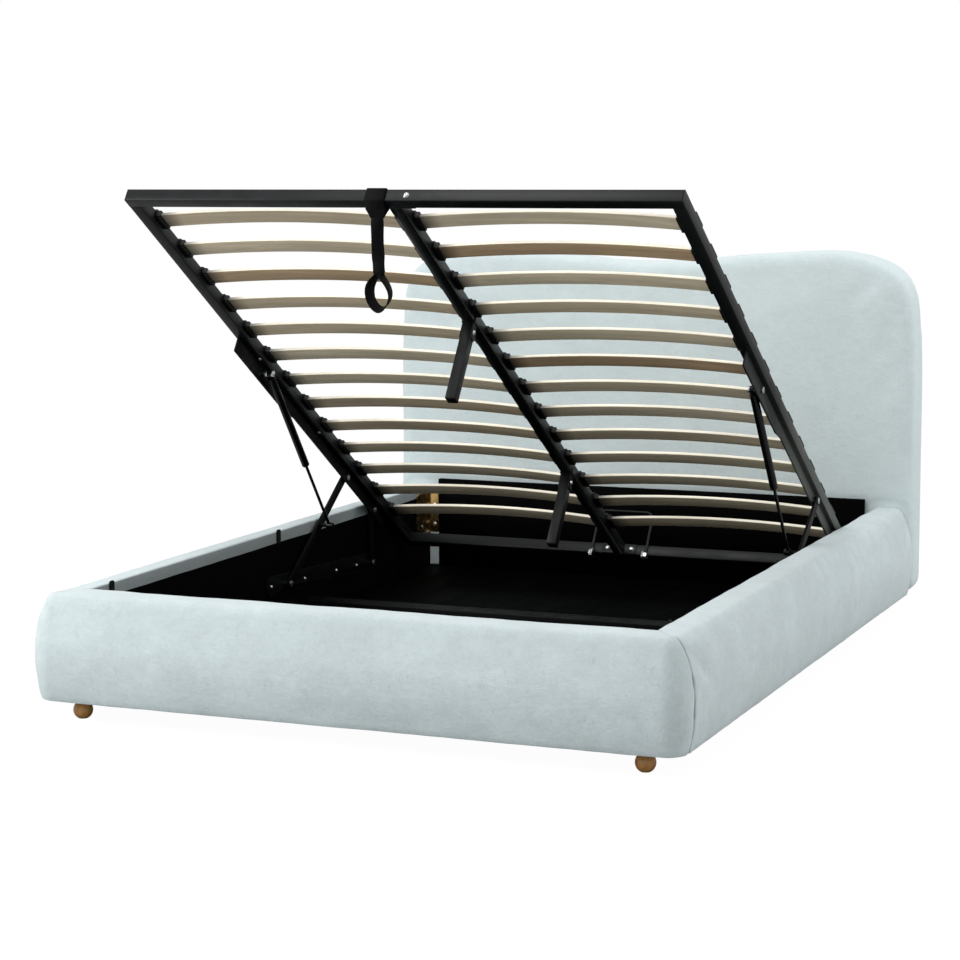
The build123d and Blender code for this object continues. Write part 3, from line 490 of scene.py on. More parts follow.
def ripple(obj, depth, wave, seed, share=None):
    """Moves points along their normals by soft noise; share says how much of it each place takes."""
    offset = Vector((seed * 7.3, seed * 3.1, seed * 5.7))
    mesh = obj.data
    normals = [v.normal.copy() for v in mesh.vertices]
    for vertex, normal in zip(mesh.vertices, normals):
        amount = depth * noise.noise(vertex.co / wave + offset)
        amount *= share(vertex.co) if share else 1.0
        vertex.co = vertex.co + normal * amount
    mesh.update()


def tree_of(name, *sockets):
    """A geometry tree with named inputs, each a name, a socket type and a default or None."""
    tree = bpy.data.node_groups.new(name, "GeometryNodeTree")
    tree.interface.new_socket(name="Geometry", in_out="INPUT", socket_type="NodeSocketGeometry")
    for label, kind, default in sockets:
        made = tree.interface.new_socket(name=label, in_out="INPUT", socket_type=kind)
        if default is not None:
            made.default_value = default
    tree.interface.new_socket(name="Geometry", in_out="OUTPUT", socket_type="NodeSocketGeometry")
    return tree, add(tree, "NodeGroupInput").outputs


def end_tree(tree, geometry, material):
    """Realises the copies, gives them their material and ends the tree."""
    real = add(tree, "GeometryNodeRealizeInstances", {"Geometry": geometry})
    painted = add(tree, "GeometryNodeSetMaterial", {"Geometry": real.outputs[0], "Material": material})
    add(tree, "NodeGroupOutput", {0: painted.outputs[0]})
    return tree


def facing_of(tree):
    """The way that each point of a carrier says."""
    return add(tree, "GeometryNodeInputNamedAttribute", {"Name": "facing"},
               data_type="FLOAT_VECTOR").outputs[0]


def row_tree():
    """Copies of one piece in a straight row, each with its own random tone."""
    tree, given = tree_of(
        "Row of copies", ("Piece", "NodeSocketObject", None), ("Count", "NodeSocketInt", 13),
        ("Step", "NodeSocketVector", None), ("Seed", "NodeSocketInt", 4),
        ("Material", "NodeSocketMaterial", None))
    line = add(tree, "GeometryNodeMeshLine", {"Count": given["Count"], "Offset": given["Step"]},
               mode="OFFSET")
    piece = add(tree, "GeometryNodeObjectInfo", {"Object": given["Piece"]})
    copies = add(tree, "GeometryNodeInstanceOnPoints",
                 {"Points": line.outputs[0], "Instance": piece.outputs["Geometry"]})
    chance = add(tree, "FunctionNodeRandomValue", {"Seed": given["Seed"]}, data_type="FLOAT")
    toned = add(tree, "GeometryNodeStoreNamedAttribute",
                {"Geometry": copies.outputs[0], "Name": "tone", "Value": chance.outputs[1]},
                data_type="FLOAT", domain="INSTANCE")
    return end_tree(tree, toned.outputs[0], given["Material"])


def spot_tree():
    """Copies of one piece at a carrier's points, each facing as its point says, turned at random."""
    tree, given = tree_of(
        "Heads at points", ("Piece", "NodeSocketObject", None), ("Seed", "NodeSocketInt", 7),
        ("Material", "NodeSocketMaterial", None))
    upright = add(tree, "FunctionNodeAlignRotationToVector", {"Vector": facing_of(tree)}, axis="Z")
    chance = add(tree, "FunctionNodeRandomValue", {"Seed": given["Seed"], 3: math.pi}, data_type="FLOAT")
    spin = add(tree, "FunctionNodeAxisAngleToRotation", {"Axis": (0, 0, 1), "Angle": chance.outputs[1]})
    turned = add(tree, "FunctionNodeRotateRotation",
                 {"Rotation": upright.outputs[0], "Rotate By": spin.outputs[0]}, rotation_space="LOCAL")
    piece = add(tree, "GeometryNodeObjectInfo", {"Object": given["Piece"]})
    copies = add(tree, "GeometryNodeInstanceOnPoints", {
        "Points": given["Geometry"], "Instance": piece.outputs["Geometry"], "Rotation": turned.outputs[0]})
    return end_tree(tree, copies.outputs[0], given["Material"])


def seam_tree():
    """Copies of one piece at an even gap on a carrier's line, lying along it and facing as it says."""
    tree, given = tree_of(
        "Stitches on a line", ("Piece", "NodeSocketObject", None), ("Gap", "NodeSocketFloat", 6 * MM),
        ("Material", "NodeSocketMaterial", None))
    line = add(tree, "GeometryNodeMeshToCurve", {"Mesh": given["Geometry"]})
    even = add(tree, "GeometryNodeResampleCurve", {"Curve": line.outputs[0], "Length": given["Gap"]},
               mode="LENGTH")
    way = add(tree, "GeometryNodeInputTangent")
    upright = add(tree, "FunctionNodeAlignRotationToVector", {"Vector": way.outputs[0]}, axis="X")
    turned = add(tree, "FunctionNodeAlignRotationToVector",
                 {"Rotation": upright.outputs[0], "Vector": facing_of(tree)}, axis="Z", pivot_axis="X")
    piece = add(tree, "GeometryNodeObjectInfo", {"Object": given["Piece"]})
    copies = add(tree, "GeometryNodeInstanceOnPoints", {
        "Points": even.outputs[0], "Instance": piece.outputs["Geometry"], "Rotation": turned.outputs[0]})
    return end_tree(tree, copies.outputs[0], given["Material"])


TREES = {"row": row_tree, "spot": spot_tree, "seam": seam_tree}
made_trees = {}


def grown(name, kind, material, points=(), facing=(), edges=(), **values):
    """A piece that a geometry tree makes from a carrier of points, as a plain mesh."""
    if kind not in made_trees:
        made_trees[kind] = TREES[kind]()
    tree = made_trees[kind]
    carrier = bpy.data.meshes.new(name)
    carrier.from_pydata([tuple(p) for p in points], list(edges), [])
    if facing:
        layer = carrier.attributes.new("facing", "FLOAT_VECTOR", "POINT")
        layer.data.foreach_set("vector", [c for way in facing for c in way])
    obj = bpy.data.objects.new(name, carrier)
    bpy.context.scene.collection.objects.link(obj)
    modifier = obj.modifiers.new("Copies", "NODES")
    modifier.node_group = tree
    values["Material"] = finish(material)
    for socket in tree.interface.items_tree:
        if socket.in_out == "INPUT" and socket.name in values:
            modifier[socket.identifier] = values[socket.name]
    return plain(obj)


def rounded(obj, width, segments=2):
    """Rounds an object's edges by a modifier."""
    bevel = obj.modifiers.new("Edges", "BEVEL")
    bevel.width = width
    bevel.segments = segments
    bevel.limit_method = "ANGLE"
    bevel.angle_limit = math.radians(35)


def chamfered(obj, width, segments=2):
    """Rounds a piece's edges for good."""
    rounded(obj, width, segments)
    return plain(obj)


def thickened(obj):
    """Gives a cloth its thickness, half to each side."""
    body = obj.modifiers.new("Cloth", "SOLIDIFY")
    body.thickness = 0.6 * MM
    body.offset = 0
    return plain(obj)


def lathe(rings, sides=24):
    """Points and faces of a turned form; a ring is a radius, a height and whether it is six-sided."""
    points, faces, rows = [], [], []
    for radius, height, six in rings:
        if radius == 0:
            rows.append([len(points)])
            points.append((0, 0, height))
            continue
        rows.append(range(len(points), len(points) + sides))
        for step in range(sides):
            angle = 2 * math.pi * step / sides
            reach = radius
            if six:
                reach *= math.cos(math.pi / 6) / math.cos(angle % (math.pi / 3) - math.pi / 6)
            points.append((reach * math.cos(angle), reach * math.sin(angle), height))
    for low, high in zip(rows, rows[1:]):
        for step in range(sides):
            after = (step + 1) % sides
            corners = {low[step % len(low)]: 0, low[after % len(low)]: 0,
                       high[after % len(high)]: 0, high[step % len(high)]: 0}
            faces.append(tuple(corners))
    return points, faces


def pattern(name, points, faces, *finishes):
    """A piece that is only copied by a tree and never shown itself."""
    obj = mesh_piece(name, points, faces, *finishes)
    close_up(obj)
    smooth(obj)
    return obj


def drop(obj):
    """Removes a pattern piece once its copies are made."""
    bpy.data.objects.remove(obj)


def box_form(low, high):
    """Points and faces of a box between two corners."""
    points = [(x, y, z) for x in (low[0], high[0]) for y in (low[1], high[1]) for z in (low[2], high[2])]
    return points, [(0, 1, 3, 2), (4, 6, 7, 5), (0, 4, 5, 1), (2, 3, 7, 6), (0, 2, 6, 4), (1, 5, 7, 3)]


# Upholstered base: one section, swept round the foot rail and along each side rail

BULGE_Z = 155 * MM
TOP_SETBACK = 38 * MM
BOTTOM_SETBACK = 14 * MM
FLAP = 31 * MM
BOARD_SPAN = 20 * MM
CLOTH = 2 * MM
BOARD_DROP = 4 * MM
SEAM_ROLL = 9 * MM
SEAM_DEPTH = 6 * MM
SEAM_GATHER = 70 * MM
SEAM_SHADE = 5 * MM
PADDING_MIDDLE = Vector((0, 160 * MM))
TACK_REACH = 24 * MM
TACK_RISE = 10 * MM
TURN_STEPS = 12
ARC_STEPS = 16
DENSE_GAP = 1.5 * MM
SEAM_STATIONS = (0, 1.5 * MM, 3.5 * MM)
MITRE_PLAY = 5 * MM
PAD_SWELL = 3 * MM


def rail_arc(setback, rise):
    """Places from the bulge to the end of one of the rail's two arcs."""
    radius = (setback ** 2 + rise ** 2) / (2 * setback)
    end = math.asin(abs(rise) / radius)
    way = 1 if rise > 0 else -1
    return [
        Vector((CORNER - radius + radius * math.cos(end * k / ARC_STEPS),
                BULGE_Z + way * radius * math.sin(end * k / ARC_STEPS)))
        for k in range(ARC_STEPS + 1)
    ]


def rail_section(inner, gap):
    """Section of a rail's padding: its skin from the flap in the box to the underside, and its inner side."""
    upper = rail_arc(TOP_SETBACK, RAIL_TOP - BULGE_Z)
    lower = rail_arc(BOTTOM_SETBACK, RAIL_BOTTOM - BULGE_Z)
    start = [Vector((inner, RAIL_TOP - FLAP)), Vector((inner, RAIL_TOP))]
    underside = Vector((inner + BOARD_SPAN, RAIL_BOTTOM))
    outer = softened([Vector((inner / 3, RAIL_TOP))] + upper[::-1] + lower[1:], 2 * DENSE_GAP, 20)
    skin = thinned(softened(start + outer + [underside], DENSE_GAP, 9), gap, 16)
    board = [
        Vector((inner + BOARD_SPAN, RAIL_TOP - BOARD_DROP)),
        Vector((inner + CLOTH, RAIL_TOP - BOARD_DROP)),
        Vector((inner + CLOTH, RAIL_TOP - FLAP)),
    ]
    return skin, board


def stays(skin, j):
    """Whether a section's place is tacked down: the flap in the box, the underside, the inner side."""
    if j >= len(skin):
        return True
    return skin[j].x < skin[0].x + TACK_REACH or skin[j].y < RAIL_BOTTOM + TACK_RISE


def rolled(point, distance):
    """A section's place near a seam, drawn in towards the middle of the padding."""
    if distance >= SEAM_ROLL:
        return point
    away = point - PADDING_MIDDLE
    depth = SEAM_DEPTH * (1 - distance / SEAM_ROLL) ** 2
    return PADDING_MIDDLE + away * (1 - depth / away.length)


def seam_steps(length, gap):
    """Distances along a run, close together at its start."""
    near = [0, 1 * MM, 3 * MM, 6 * MM, 11 * MM]
    rest = max(2, round((length - near[-1]) / gap))
    return near + [near[-1] + (length - near[-1]) * k / rest for k in range(1, rest + 1)]


def pad_foot_rail(gap):
    """Padding of the foot rail, round both front corners to the seams."""
    skin, board = rail_section(AXIS_Y - WALL_Y, gap)
    edge = SEAM_Y - AXIS_Y
    count = 2 * round(AXIS_X / gap)
    stations = []
    for side in (-1, 1):
        run = []
        for distance in SEAM_STATIONS:
            run.append((Vector((side * AXIS_X, SEAM_Y - distance)), Vector((side, 0)), distance))
        for k in range(TURN_STEPS + 1):
            angle = math.pi / 2 * (1 - k / TURN_STEPS)
            way = Vector((side * math.sin(angle), -math.cos(angle)))
            run.append((Vector((side * AXIS_X, AXIS_Y)), way, edge + CORNER * (math.pi / 2 - angle)))
        stations.append(run)
    middle = [(Vector((-AXIS_X + 2 * AXIS_X * k / count, AXIS_Y)), Vector((0, -1)), 1.0)
              for k in range(1, count)]
    run = stations[0] + middle + stations[1][::-1]
    points, held = [], []
    loop = len(skin) + len(board)
    for index, (origin, way, distance) in enumerate(run):
        across = abs(origin.x)
        if distance < 1.0:
            limit = 0.0
        elif across > WALL_X:
            share = (across - WALL_X) / (AXIS_X - WALL_X)
            limit = -(WALL_Y - AXIS_Y) * (1 - share) - MITRE_PLAY
        else:
            limit = -10.0
        for j, place in enumerate(skin + board):
            place = rolled(place, distance)
            reach = max(place.x, limit)
            spot = origin + way * reach
            if stays(skin, j) or index < 3 or index >= len(run) - 3:
                held.append(len(points))
            points.append(Vector((spot.x, spot.y, place.y)))
    obj = mesh_piece("foot_rail_padding", points, sheet_faces(len(run), loop, True), "velvet")
    return obj, held


def pad_side_rail(side, gap):
    """Padding of one side rail, from the corner seam to the headboard."""
    inner = WALL_X - AXIS_X
    skin, board = rail_section(inner, gap)
    steps = seam_steps(HEAD_FRONT - SEAM_Y, gap)
    points, held = [], []
    for index, step in enumerate(steps):
        for j, place in enumerate(skin + board):
            place = rolled(place, step)
            back = max(0.0, min(1.0, place.x / inner)) * (WALL_Y - SEAM_Y)
            share = step / steps[-1]
            y = SEAM_Y + back + share * (HEAD_FRONT - SEAM_Y - back)
            if stays(skin, j) or index < 3 or index >= len(steps) - 1:
                held.append(len(points))
            points.append(Vector((side * (AXIS_X + place.x), y, place.y)))
    name = "left" if side < 0 else "right"
    loop = len(skin) + len(board)
    obj = mesh_piece(f"side_rail_padding_{name}", points, sheet_faces(len(steps), loop, True), "velvet")
    return obj, held


def near_seam(place):
    """How much a place gathers at the corner seams: all at the seam, none at SEAM_GATHER from it."""
    distance = abs(place.y - SEAM_Y) + max(0.0, AXIS_X - abs(place.x))
    return max(0.0, 1 - distance / SEAM_GATHER) ** 1.5


def painted_pile_shade(place):
    """How much painted shade darkens the pile: on the flap, beside a corner seam, and a little over the
    rails' tops.
    """
    in_box = abs(place.x) < WALL_X + 3 * MM and place.y > WALL_Y - 3 * MM
    flap = 0.72 if in_box and place.z < RAIL_TOP - 3 * MM else 0.0
    beside = abs(place.y - SEAM_Y) if abs(place.x) > AXIS_X else 1.0
    over = 0.17 * max(0.0, min(1.0, (place.z - 190 * MM) / (80 * MM)))
    return max(flap, over, 0.95 * max(0.0, 1 - beside / SEAM_SHADE))


def dress_pad(obj, held, seed, fill, *nodes):
    """Swells and rumples a rail's padding and ends it."""
    swell(obj, held, bpy.context.scene.bed_sizes.pad_pressure, PAD_SWELL)
    close_up(obj, fill=True)
    ripple(obj, 1.6 * MM, 0.16, seed, lambda p: 1.0 if p.z > 60 * MM else 0.3)
    ripple(obj, 0.7 * MM, 0.045, seed + 1)
    ripple(obj, 3.0 * MM, 0.03, seed + 2, near_seam)
    # painted shade for the velvet: darker on the flap in the box and beside the corner seams, and a little
    # over the rails' tops
    laid = obj.data.attributes.new("laid", "FLOAT", "POINT")
    laid.data.foreach_set("value", [painted_pile_shade(v.co) for v in obj.data.vertices])
    settle(obj, "bed_base", "velvet", *nodes, angle=75)


class BED_OT_upholster_rails(bpy.types.Operator):
    """Pads the foot rail and both side rails in velvet, with a seam at each front corner"""
    bl_idname = "bed.upholster_rails"
    bl_label = "Upholster rails"

    def execute(self, context):
        gap = context.scene.bed_sizes.pad_grid
        obj, held = pad_foot_rail(gap)
        dress_pad(obj, held, 1, 0.7, "foot_rail_upholstery")
        for name, side in SIDES.items():
            obj, held = pad_side_rail(side, gap)
            dress_pad(obj, held, 5 + side, 0.7, f"side_rail_upholstery_{name}")
        return {"FINISHED"}


# Headboard: its shares give the right half of the wavy outline

OUTLINE_SHARES = (
    (0.00, 0.966), (0.16, 0.971), (0.32, 0.984), (0.48, 0.993), (0.64, 1.000), (0.76, 0.996),
    (0.85, 0.979), (0.915, 0.955), (0.953, 0.925), (0.977, 0.882), (0.990, 0.82), (0.996, 0.74),
    (1.00, 0.60),
)
BACK_INSET = 8 * MM
BACK_DEPTH = 30 * MM
EDGE_ROLL = 26 * MM
FOOT_BEND = 60 * MM
HELD_RISE = 20 * MM
# painted light: the share by which the whole headboard's velvet is made paler
PAINTED_LIGHT_SHARE = 0.38
HEAD_SWELL = 5 * MM
CLOTH_RINGS = 14
# the back cloth's rings draw in to a level line of this half length, at this height
CLOTH_LINE, CLOTH_LINE_Z = 0.4, 0.5


def headboard_line(inset, gap):
    """The headboard's outline drawn in by an inset, closed, as X and Z."""
    reach = HALF_WIDTH - inset
    height = HEAD_HIGH.z - inset
    low = RAIL_BOTTOM + inset
    right = [Vector((reach * a, height * b)) for a, b in OUTLINE_SHARES]
    crown = [Vector((-p.x, p.y)) for p in right[:0:-1]] + right
    crown = [Vector((-reach, low + FOOT_BEND))] + crown + [Vector((reach, low + FOOT_BEND))]
    dense = []
    for a, b, c, d in zip([crown[0]] + crown, crown, crown[1:], crown[2:] + [crown[-1]]):
        for k in range(8):
            t = k / 8
            dense.append(0.5 * (2 * b + (c - a) * t + (2 * a - 5 * b + 4 * c - d) * t ** 2
                                + (3 * b - a - 3 * c + d) * t ** 3))
    dense.append(crown[-1])
    foot = [Vector((reach, low)), Vector((-reach, low)), Vector((-reach, low + FOOT_BEND))]
    return softened(dense + foot, gap, 4)


class BED_OT_upholster_headboard(bpy.types.Operator):
    """Pads the headboard in velvet, and staples a thin cloth over its back"""
    bl_idname = "bed.upholster_headboard"
    bl_label = "Upholster headboard"

    def execute(self, context):
        sizes = context.scene.bed_sizes
        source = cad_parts["headboard_upholstery"]
        pad = bpy.data.objects.new("headboard_padding", source.data.copy())
        context.scene.collection.objects.link(pad)
        pad.data.materials.clear()
        pad.data.materials.append(finish("velvet"))
        close_up(pad)
        remesh = pad.modifiers.new("Even", "REMESH")
        remesh.mode = "VOXEL"
        remesh.voxel_size = sizes.headboard_grid
        plain(pad)
        ease = pad.modifiers.new("Ease", "SMOOTH")
        ease.iterations = 4
        plain(pad)
        back = HEAD_HIGH.y - BACK_DEPTH
        for vertex in pad.data.vertices:
            low = vertex.co.z < RAIL_BOTTOM + EDGE_ROLL and abs(vertex.co.x) < AXIS_X
            if low and vertex.co.y < HEAD_FRONT + EDGE_ROLL:
                vertex.co.y = HEAD_FRONT
        held = [v.index for v in pad.data.vertices
                if v.co.y > back or (abs(v.co.x) < AXIS_X and v.co.z < RAIL_TOP + HELD_RISE)]
        swell(pad, held, sizes.pad_pressure, HEAD_SWELL)
        ripple(pad, 2.2 * MM, 0.24, 11, lambda p: 1.0 if p.y < back else 0.0)
        ripple(pad, 0.8 * MM, 0.07, 12, lambda p: 1.0 if p.y < back else 0.0)
        pad.modifiers.new("Fine", "SUBSURF").levels = 1
        plain(pad)
        # painted light: the headboard's velvet is made paler all over
        brushed = pad.data.attributes.new("brushed", "FLOAT", "POINT")
        brushed.data.foreach_set("value", [PAINTED_LIGHT_SHARE] * len(pad.data.vertices))
        settle(pad, "bed_base", "velvet", "headboard_upholstery", angle=80)
        self.cover_back(sizes)
        return {"FINISHED"}

    def cover_back(self, sizes):
        """Cloth over the board's back, drawn to its edge, with its staples."""
        line = headboard_line(BACK_INSET, 24 * MM)[:-1]
        shares = [1 - k / CLOTH_RINGS for k in range(CLOTH_RINGS)]
        points = []
        for share in shares:
            for place in line:
                middle = Vector((max(-CLOTH_LINE, min(CLOTH_LINE, place.x)), CLOTH_LINE_Z))
                spot = middle.lerp(place, share)
                slack = 0.9 * MM * noise.noise(Vector((spot.x * 6, spot.y * 6, 2))) if share < 1 else 0
                points.append((spot.x, HEAD_HIGH.y - 1.4 * MM + slack, spot.y))
        faces = sheet_faces(len(shares), len(line), True)
        faces.append(tuple(range((len(shares) - 1) * len(line), len(points))))
        cloth = mesh_piece("headboard_back_cloth", points, faces, "black_lining")
        thickened(cloth)
        settle(cloth, "bed_base", "black_lining", "headboard_back_cover")
        low, high = (-5 * MM, -0.5 * MM, -0.4 * MM), (5 * MM, 0.5 * MM, 0.7 * MM)
        staple = pattern("staple", *box_form(low, high), "bright_zinc")
        chamfered(staple, 0.3 * MM, 1)
        border = headboard_line(BACK_INSET + 10 * MM, 12 * MM)[:-1]
        places = [(p.x, HEAD_HIGH.y - 0.6 * MM, p.y) for p in border]
        edges = [(k, (k + 1) % len(places)) for k in range(len(places))]
        staples = grown("headboard_staples", "seam", "bright_zinc", places, [(0, 1, 0)] * len(places),
                        edges, Piece=staple, Gap=sizes.staple_gap)
        drop(staple)
        settle(staples, "bed_base", "bright_zinc")


# CAD nodes that stay in view: finish, rounding in millimetres, names
BOX_FINISHES = (
    ("black_board", 0.6, ("floor_board_front", "floor_board_rear")),
    ("black_board", 1.2, ("head_lining_board",)),
    ("dark_plate", 1.0, ("floor_cross_rail",)),
    ("black_rubber", 1.2, ("wall_bumpers",)),
    ("pine_board", 1.0, ("floor_ledges",)),
    ("pine_board", 0.8, ("side_rail_board_left", "side_rail_board_right", "foot_rail_board",
                         "headboard_board")),
)
FRAME_FINISHES = (
    ("tinted_steel", 0.8, ("side_tube_right", "lifting_plate_right", "rear_arm_right")),
    ("black_steel", 1.5, ("side_tube_left", "foot_tube", "head_tube", "centre_beam",
                          "centre_leg_front", "centre_leg_rear")),
    ("black_steel", 0.7, ("leg_brackets", "front_corner_brackets")),
    ("black_steel", 0.0, ("mattress_stop",)),
    ("dark_plate", 0.6, ("base_plate_left", "base_plate_right", "front_arm_left", "front_arm_right",
                         "lifting_plate_left", "rear_arm_left")),
    ("black_rod", 0.0, ("gas_cylinder_left", "gas_cylinder_right", "gas_rod_left", "gas_rod_right")),
    ("black_plastic", 0.5, ("tube_end_caps", "leg_plugs")),
    ("yellow_zinc", 0.8, ("rear_corner_brackets",)),
    ("bright_zinc", 0.8, ("frame_pivot_pins", "base_pivot_pins")),
)
LINING_ROWS = 10


class BED_OT_line_box(bpy.types.Operator):
    """Lines the storage box with black cloth and finishes its boards, channel, ledges and bumpers"""
    bl_idname = "bed.line_box"
    bl_label = "Line box"

    def execute(self, context):
        low, high = LINING_LOW.z + 1 * MM, LINING_HIGH.z
        plan = [Vector((-WALL_X, HEAD_FRONT)), Vector((-WALL_X, WALL_Y)), Vector((WALL_X, WALL_Y)),
                Vector((WALL_X, HEAD_FRONT))]
        line = [p for a, b in zip(plan, plan[1:]) for p in spaced([a, b], 30 * MM)[:-1]] + [plan[-1]]
        rows, last = LINING_ROWS, LINING_ROWS - 1
        points = []
        for place in line:
            out = Vector((math.copysign(1, place.x) if abs(place.x) > WALL_X - MM else 0,
                          -1 if place.y < WALL_Y + MM else 0))
            for k in range(rows):
                z = low + (high - low) * k / last
                hold = min(1.0, 4 * k * (last - k) / last ** 2)
                soft = noise.noise(Vector((place.x * 9, place.y * 9, z * 14)))
                slack = 1 * MM + 0.45 * MM * hold * soft
                points.append((place.x + out.x * slack, place.y + out.y * slack, z))
        cloth = mesh_piece("box_lining_cloth", points, sheet_faces(len(line), rows), "black_lining")
        thickened(cloth)
        close_up(cloth)
        settle(cloth, "bed_base", "black_lining", "box_lining")
        finish_nodes(BOX_FINISHES)
        return {"FINISHED"}


def finish_node(name, entry, bevel):
    """Gives a CAD node its finish, and rounds its edges in millimetres by a modifier."""
    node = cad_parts[name]
    node.data.materials.clear()
    node.data.materials.append(finish(entry))
    node.data.polygons.foreach_set("material_index", [0] * len(node.data.polygons))
    if bevel:
        weld = node.modifiers.new("Weld", "WELD")
        weld.merge_threshold = 0.02 * MM
        rounded(node, bevel * MM)
    smooth(node, 35)


def finish_nodes(rows):
    """Finishes CAD nodes by rows of a finish, a rounding in millimetres and the nodes' names."""
    for entry, bevel, names in rows:
        for name in names:
            finish_node(name, entry, bevel)


BALL = 22.5 * MM
BALL_Z = 20 * MM
FOOT_FLAT = 11 * MM
FOOT_CLEAR = 0.4 * MM
NECK = 14 * MM
# groove between the ball and the neck's collar, as shares of the neck and heights
GROOVE = ((1, 40.4 * MM), (0.93, 41.2 * MM), (0.93, 43 * MM), (1, 44 * MM))


class BED_OT_turn_feet(bpy.types.Operator):
    """Turns the four ball feet in oak, and finishes the support foot in the middle"""
    bl_idname = "bed.turn_feet"
    bl_label = "Turn feet"

    def execute(self, context):
        for end in ("front", "rear"):
            for name in SIDES:
                low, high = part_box(f"foot_{end}_{name}")
                middle = (low + high) / 2
                rings = [(0, FOOT_CLEAR, False), (FOOT_FLAT, FOOT_CLEAR, False)]
                for k in range(1, 17):
                    angle = math.radians(-56 + 108 * k / 16)
                    rings.append((BALL * math.cos(angle), BALL_Z + BALL * math.sin(angle), False))
                rings += [(NECK * share, height, False) for share, height in GROOVE]
                rings += [(NECK, high.z, False), (0, high.z, False)]
                points, faces = lathe(rings, 48)
                points = [(middle.x + x, middle.y + y, z) for x, y, z in points]
                foot = mesh_piece(f"ball_foot_{end}_{name}", points, faces, "oak_foot")
                close_up(foot)
                settle(foot, "bed_base", "oak_foot", f"foot_{end}_{name}", angle=30)
        finish_node("centre_support_foot", "black_plastic", 1.0)
        return {"FINISHED"}


class BED_OT_coat_frame(bpy.types.Operator):
    """Rounds the edges of the tubes, legs, arms and plates and gives them their coat"""
    bl_idname = "bed.coat_frame"
    bl_label = "Coat frame"

    def execute(self, context):
        finish_nodes(FRAME_FINISHES)
        return {"FINISHED"}


# Slats: two columns of bent strips in plastic holders

SLAT_FIRST = 96 * MM
SLAT_LAST = 218 * MM
SLAT_WIDTH = 49 * MM
SLAT_THICK = 8 * MM
SLAT_CROWN = 15 * MM
SLAT_RISE = 18 * MM
SLAT_GAP = 3.5 * MM
HOLDER_LONG = 14 * MM
HOLDER_WALL = 3 * MM
HOLDER_PLAY = 0.3 * MM
HOLDER_ROOM = 2.6 * MM
RIB_SPACING = 14 * MM
RIB_DEPTH = 0.9 * MM
SLAT_EDGE = 1.6 * MM
SLAT_STEPS = 26
# rows that are cut from browner beech
WARM_ROWS = {"left": (2,), "right": (1, 5)}
WARM_TONE = 1.55
LIP_WIDTH = 54 * MM
LIP_LONG = 30 * MM
LIP_HIGH = 5 * MM


def slat_form(side):
    """Points and faces of one bent slat at the first station, a strip with rounded edges."""
    near, far = TUBE / 2 + SLAT_GAP, FRAME_HALF - TUBE - SLAT_GAP
    span = far - near
    radius = (span ** 2 / 4 + SLAT_CROWN ** 2) / (2 * SLAT_CROWN)
    edge = SLAT_EDGE
    ring = []
    for y_end, z_end, turn in ((1, 1, 0), (0, 1, 90), (0, 0, 180), (1, 0, 270)):
        for k in range(4):
            angle = math.radians(turn + 30 * k)
            ring.append((
                (SLAT_WIDTH - edge if y_end else edge) + edge * math.cos(angle),
                (SLAT_THICK - edge if z_end else edge) + edge * math.sin(angle)))
    points = []
    for step in range(SLAT_STEPS + 1):
        across = near + span * step / SLAT_STEPS
        bow = math.sqrt(radius ** 2 - (across - near - span / 2) ** 2) - (radius - SLAT_CROWN)
        for station, rise in ring:
            points.append(on_frame(side * across, SLAT_FIRST + station, SLAT_RISE + bow + rise))
    faces = sheet_faces(SLAT_STEPS + 1, len(ring), True)
    faces += [tuple(range(len(ring))), tuple(range(SLAT_STEPS * len(ring), len(points)))]
    return points, faces


def holder_form(side, face_x):
    """One slat holder: a sleeve open to the slat, with ribs, and a clip that hooks over the tube."""
    wall, play, end = HOLDER_WALL, HOLDER_PLAY, HOLDER_LONG
    low = SLAT_RISE - wall - play
    high = low + SLAT_THICK + 2 * wall + HOLDER_ROOM
    mid = SLAT_FIRST + SLAT_WIDTH / 2
    half = SLAT_WIDTH / 2 + play + wall
    first, last = mid - half, mid + half
    lip = LIP_LONG if abs(face_x) > TUBE else TUBE / 2 - play
    # each block from and to: across from the tube, along the tube, above its underside
    blocks = [
        (0, SLAT_GAP - play, first, last, low, high),
        (0, end, first, last, low, low + wall),
        (0, end, first, last, high - wall, high),
        (0, end, first, first + wall, low, high),
        (0, end, last - wall, last, low, high),
        (-lip, wall, mid - LIP_WIDTH / 2, mid + LIP_WIDTH / 2, TUBE, TUBE + LIP_HIGH),
    ]
    for rib in (mid - RIB_SPACING, mid, mid + RIB_SPACING):
        blocks.append((end - 9 * MM, end - 1 * MM, rib - 1 * MM, rib + 1 * MM, low - RIB_DEPTH, low))
    work = bmesh.new()
    for x0, x1, s0, s1, r0, r1 in blocks:
        points, faces = box_form((x0, s0, r0), (x1, s1, r1))
        corners = [work.verts.new(on_frame(face_x + side * x, s, r)) for x, s, r in points]
        for face in faces:
            work.faces.new([corners[i] for i in face])
    bmesh.ops.recalc_face_normals(work, faces=work.faces)
    mesh = bpy.data.meshes.new("holder")
    work.to_mesh(mesh)
    work.free()
    mesh.materials.append(finish("black_plastic"))
    obj = bpy.data.objects.new("holder", mesh)
    bpy.context.scene.collection.objects.link(obj)
    return chamfered(obj, 0.7 * MM, 2)


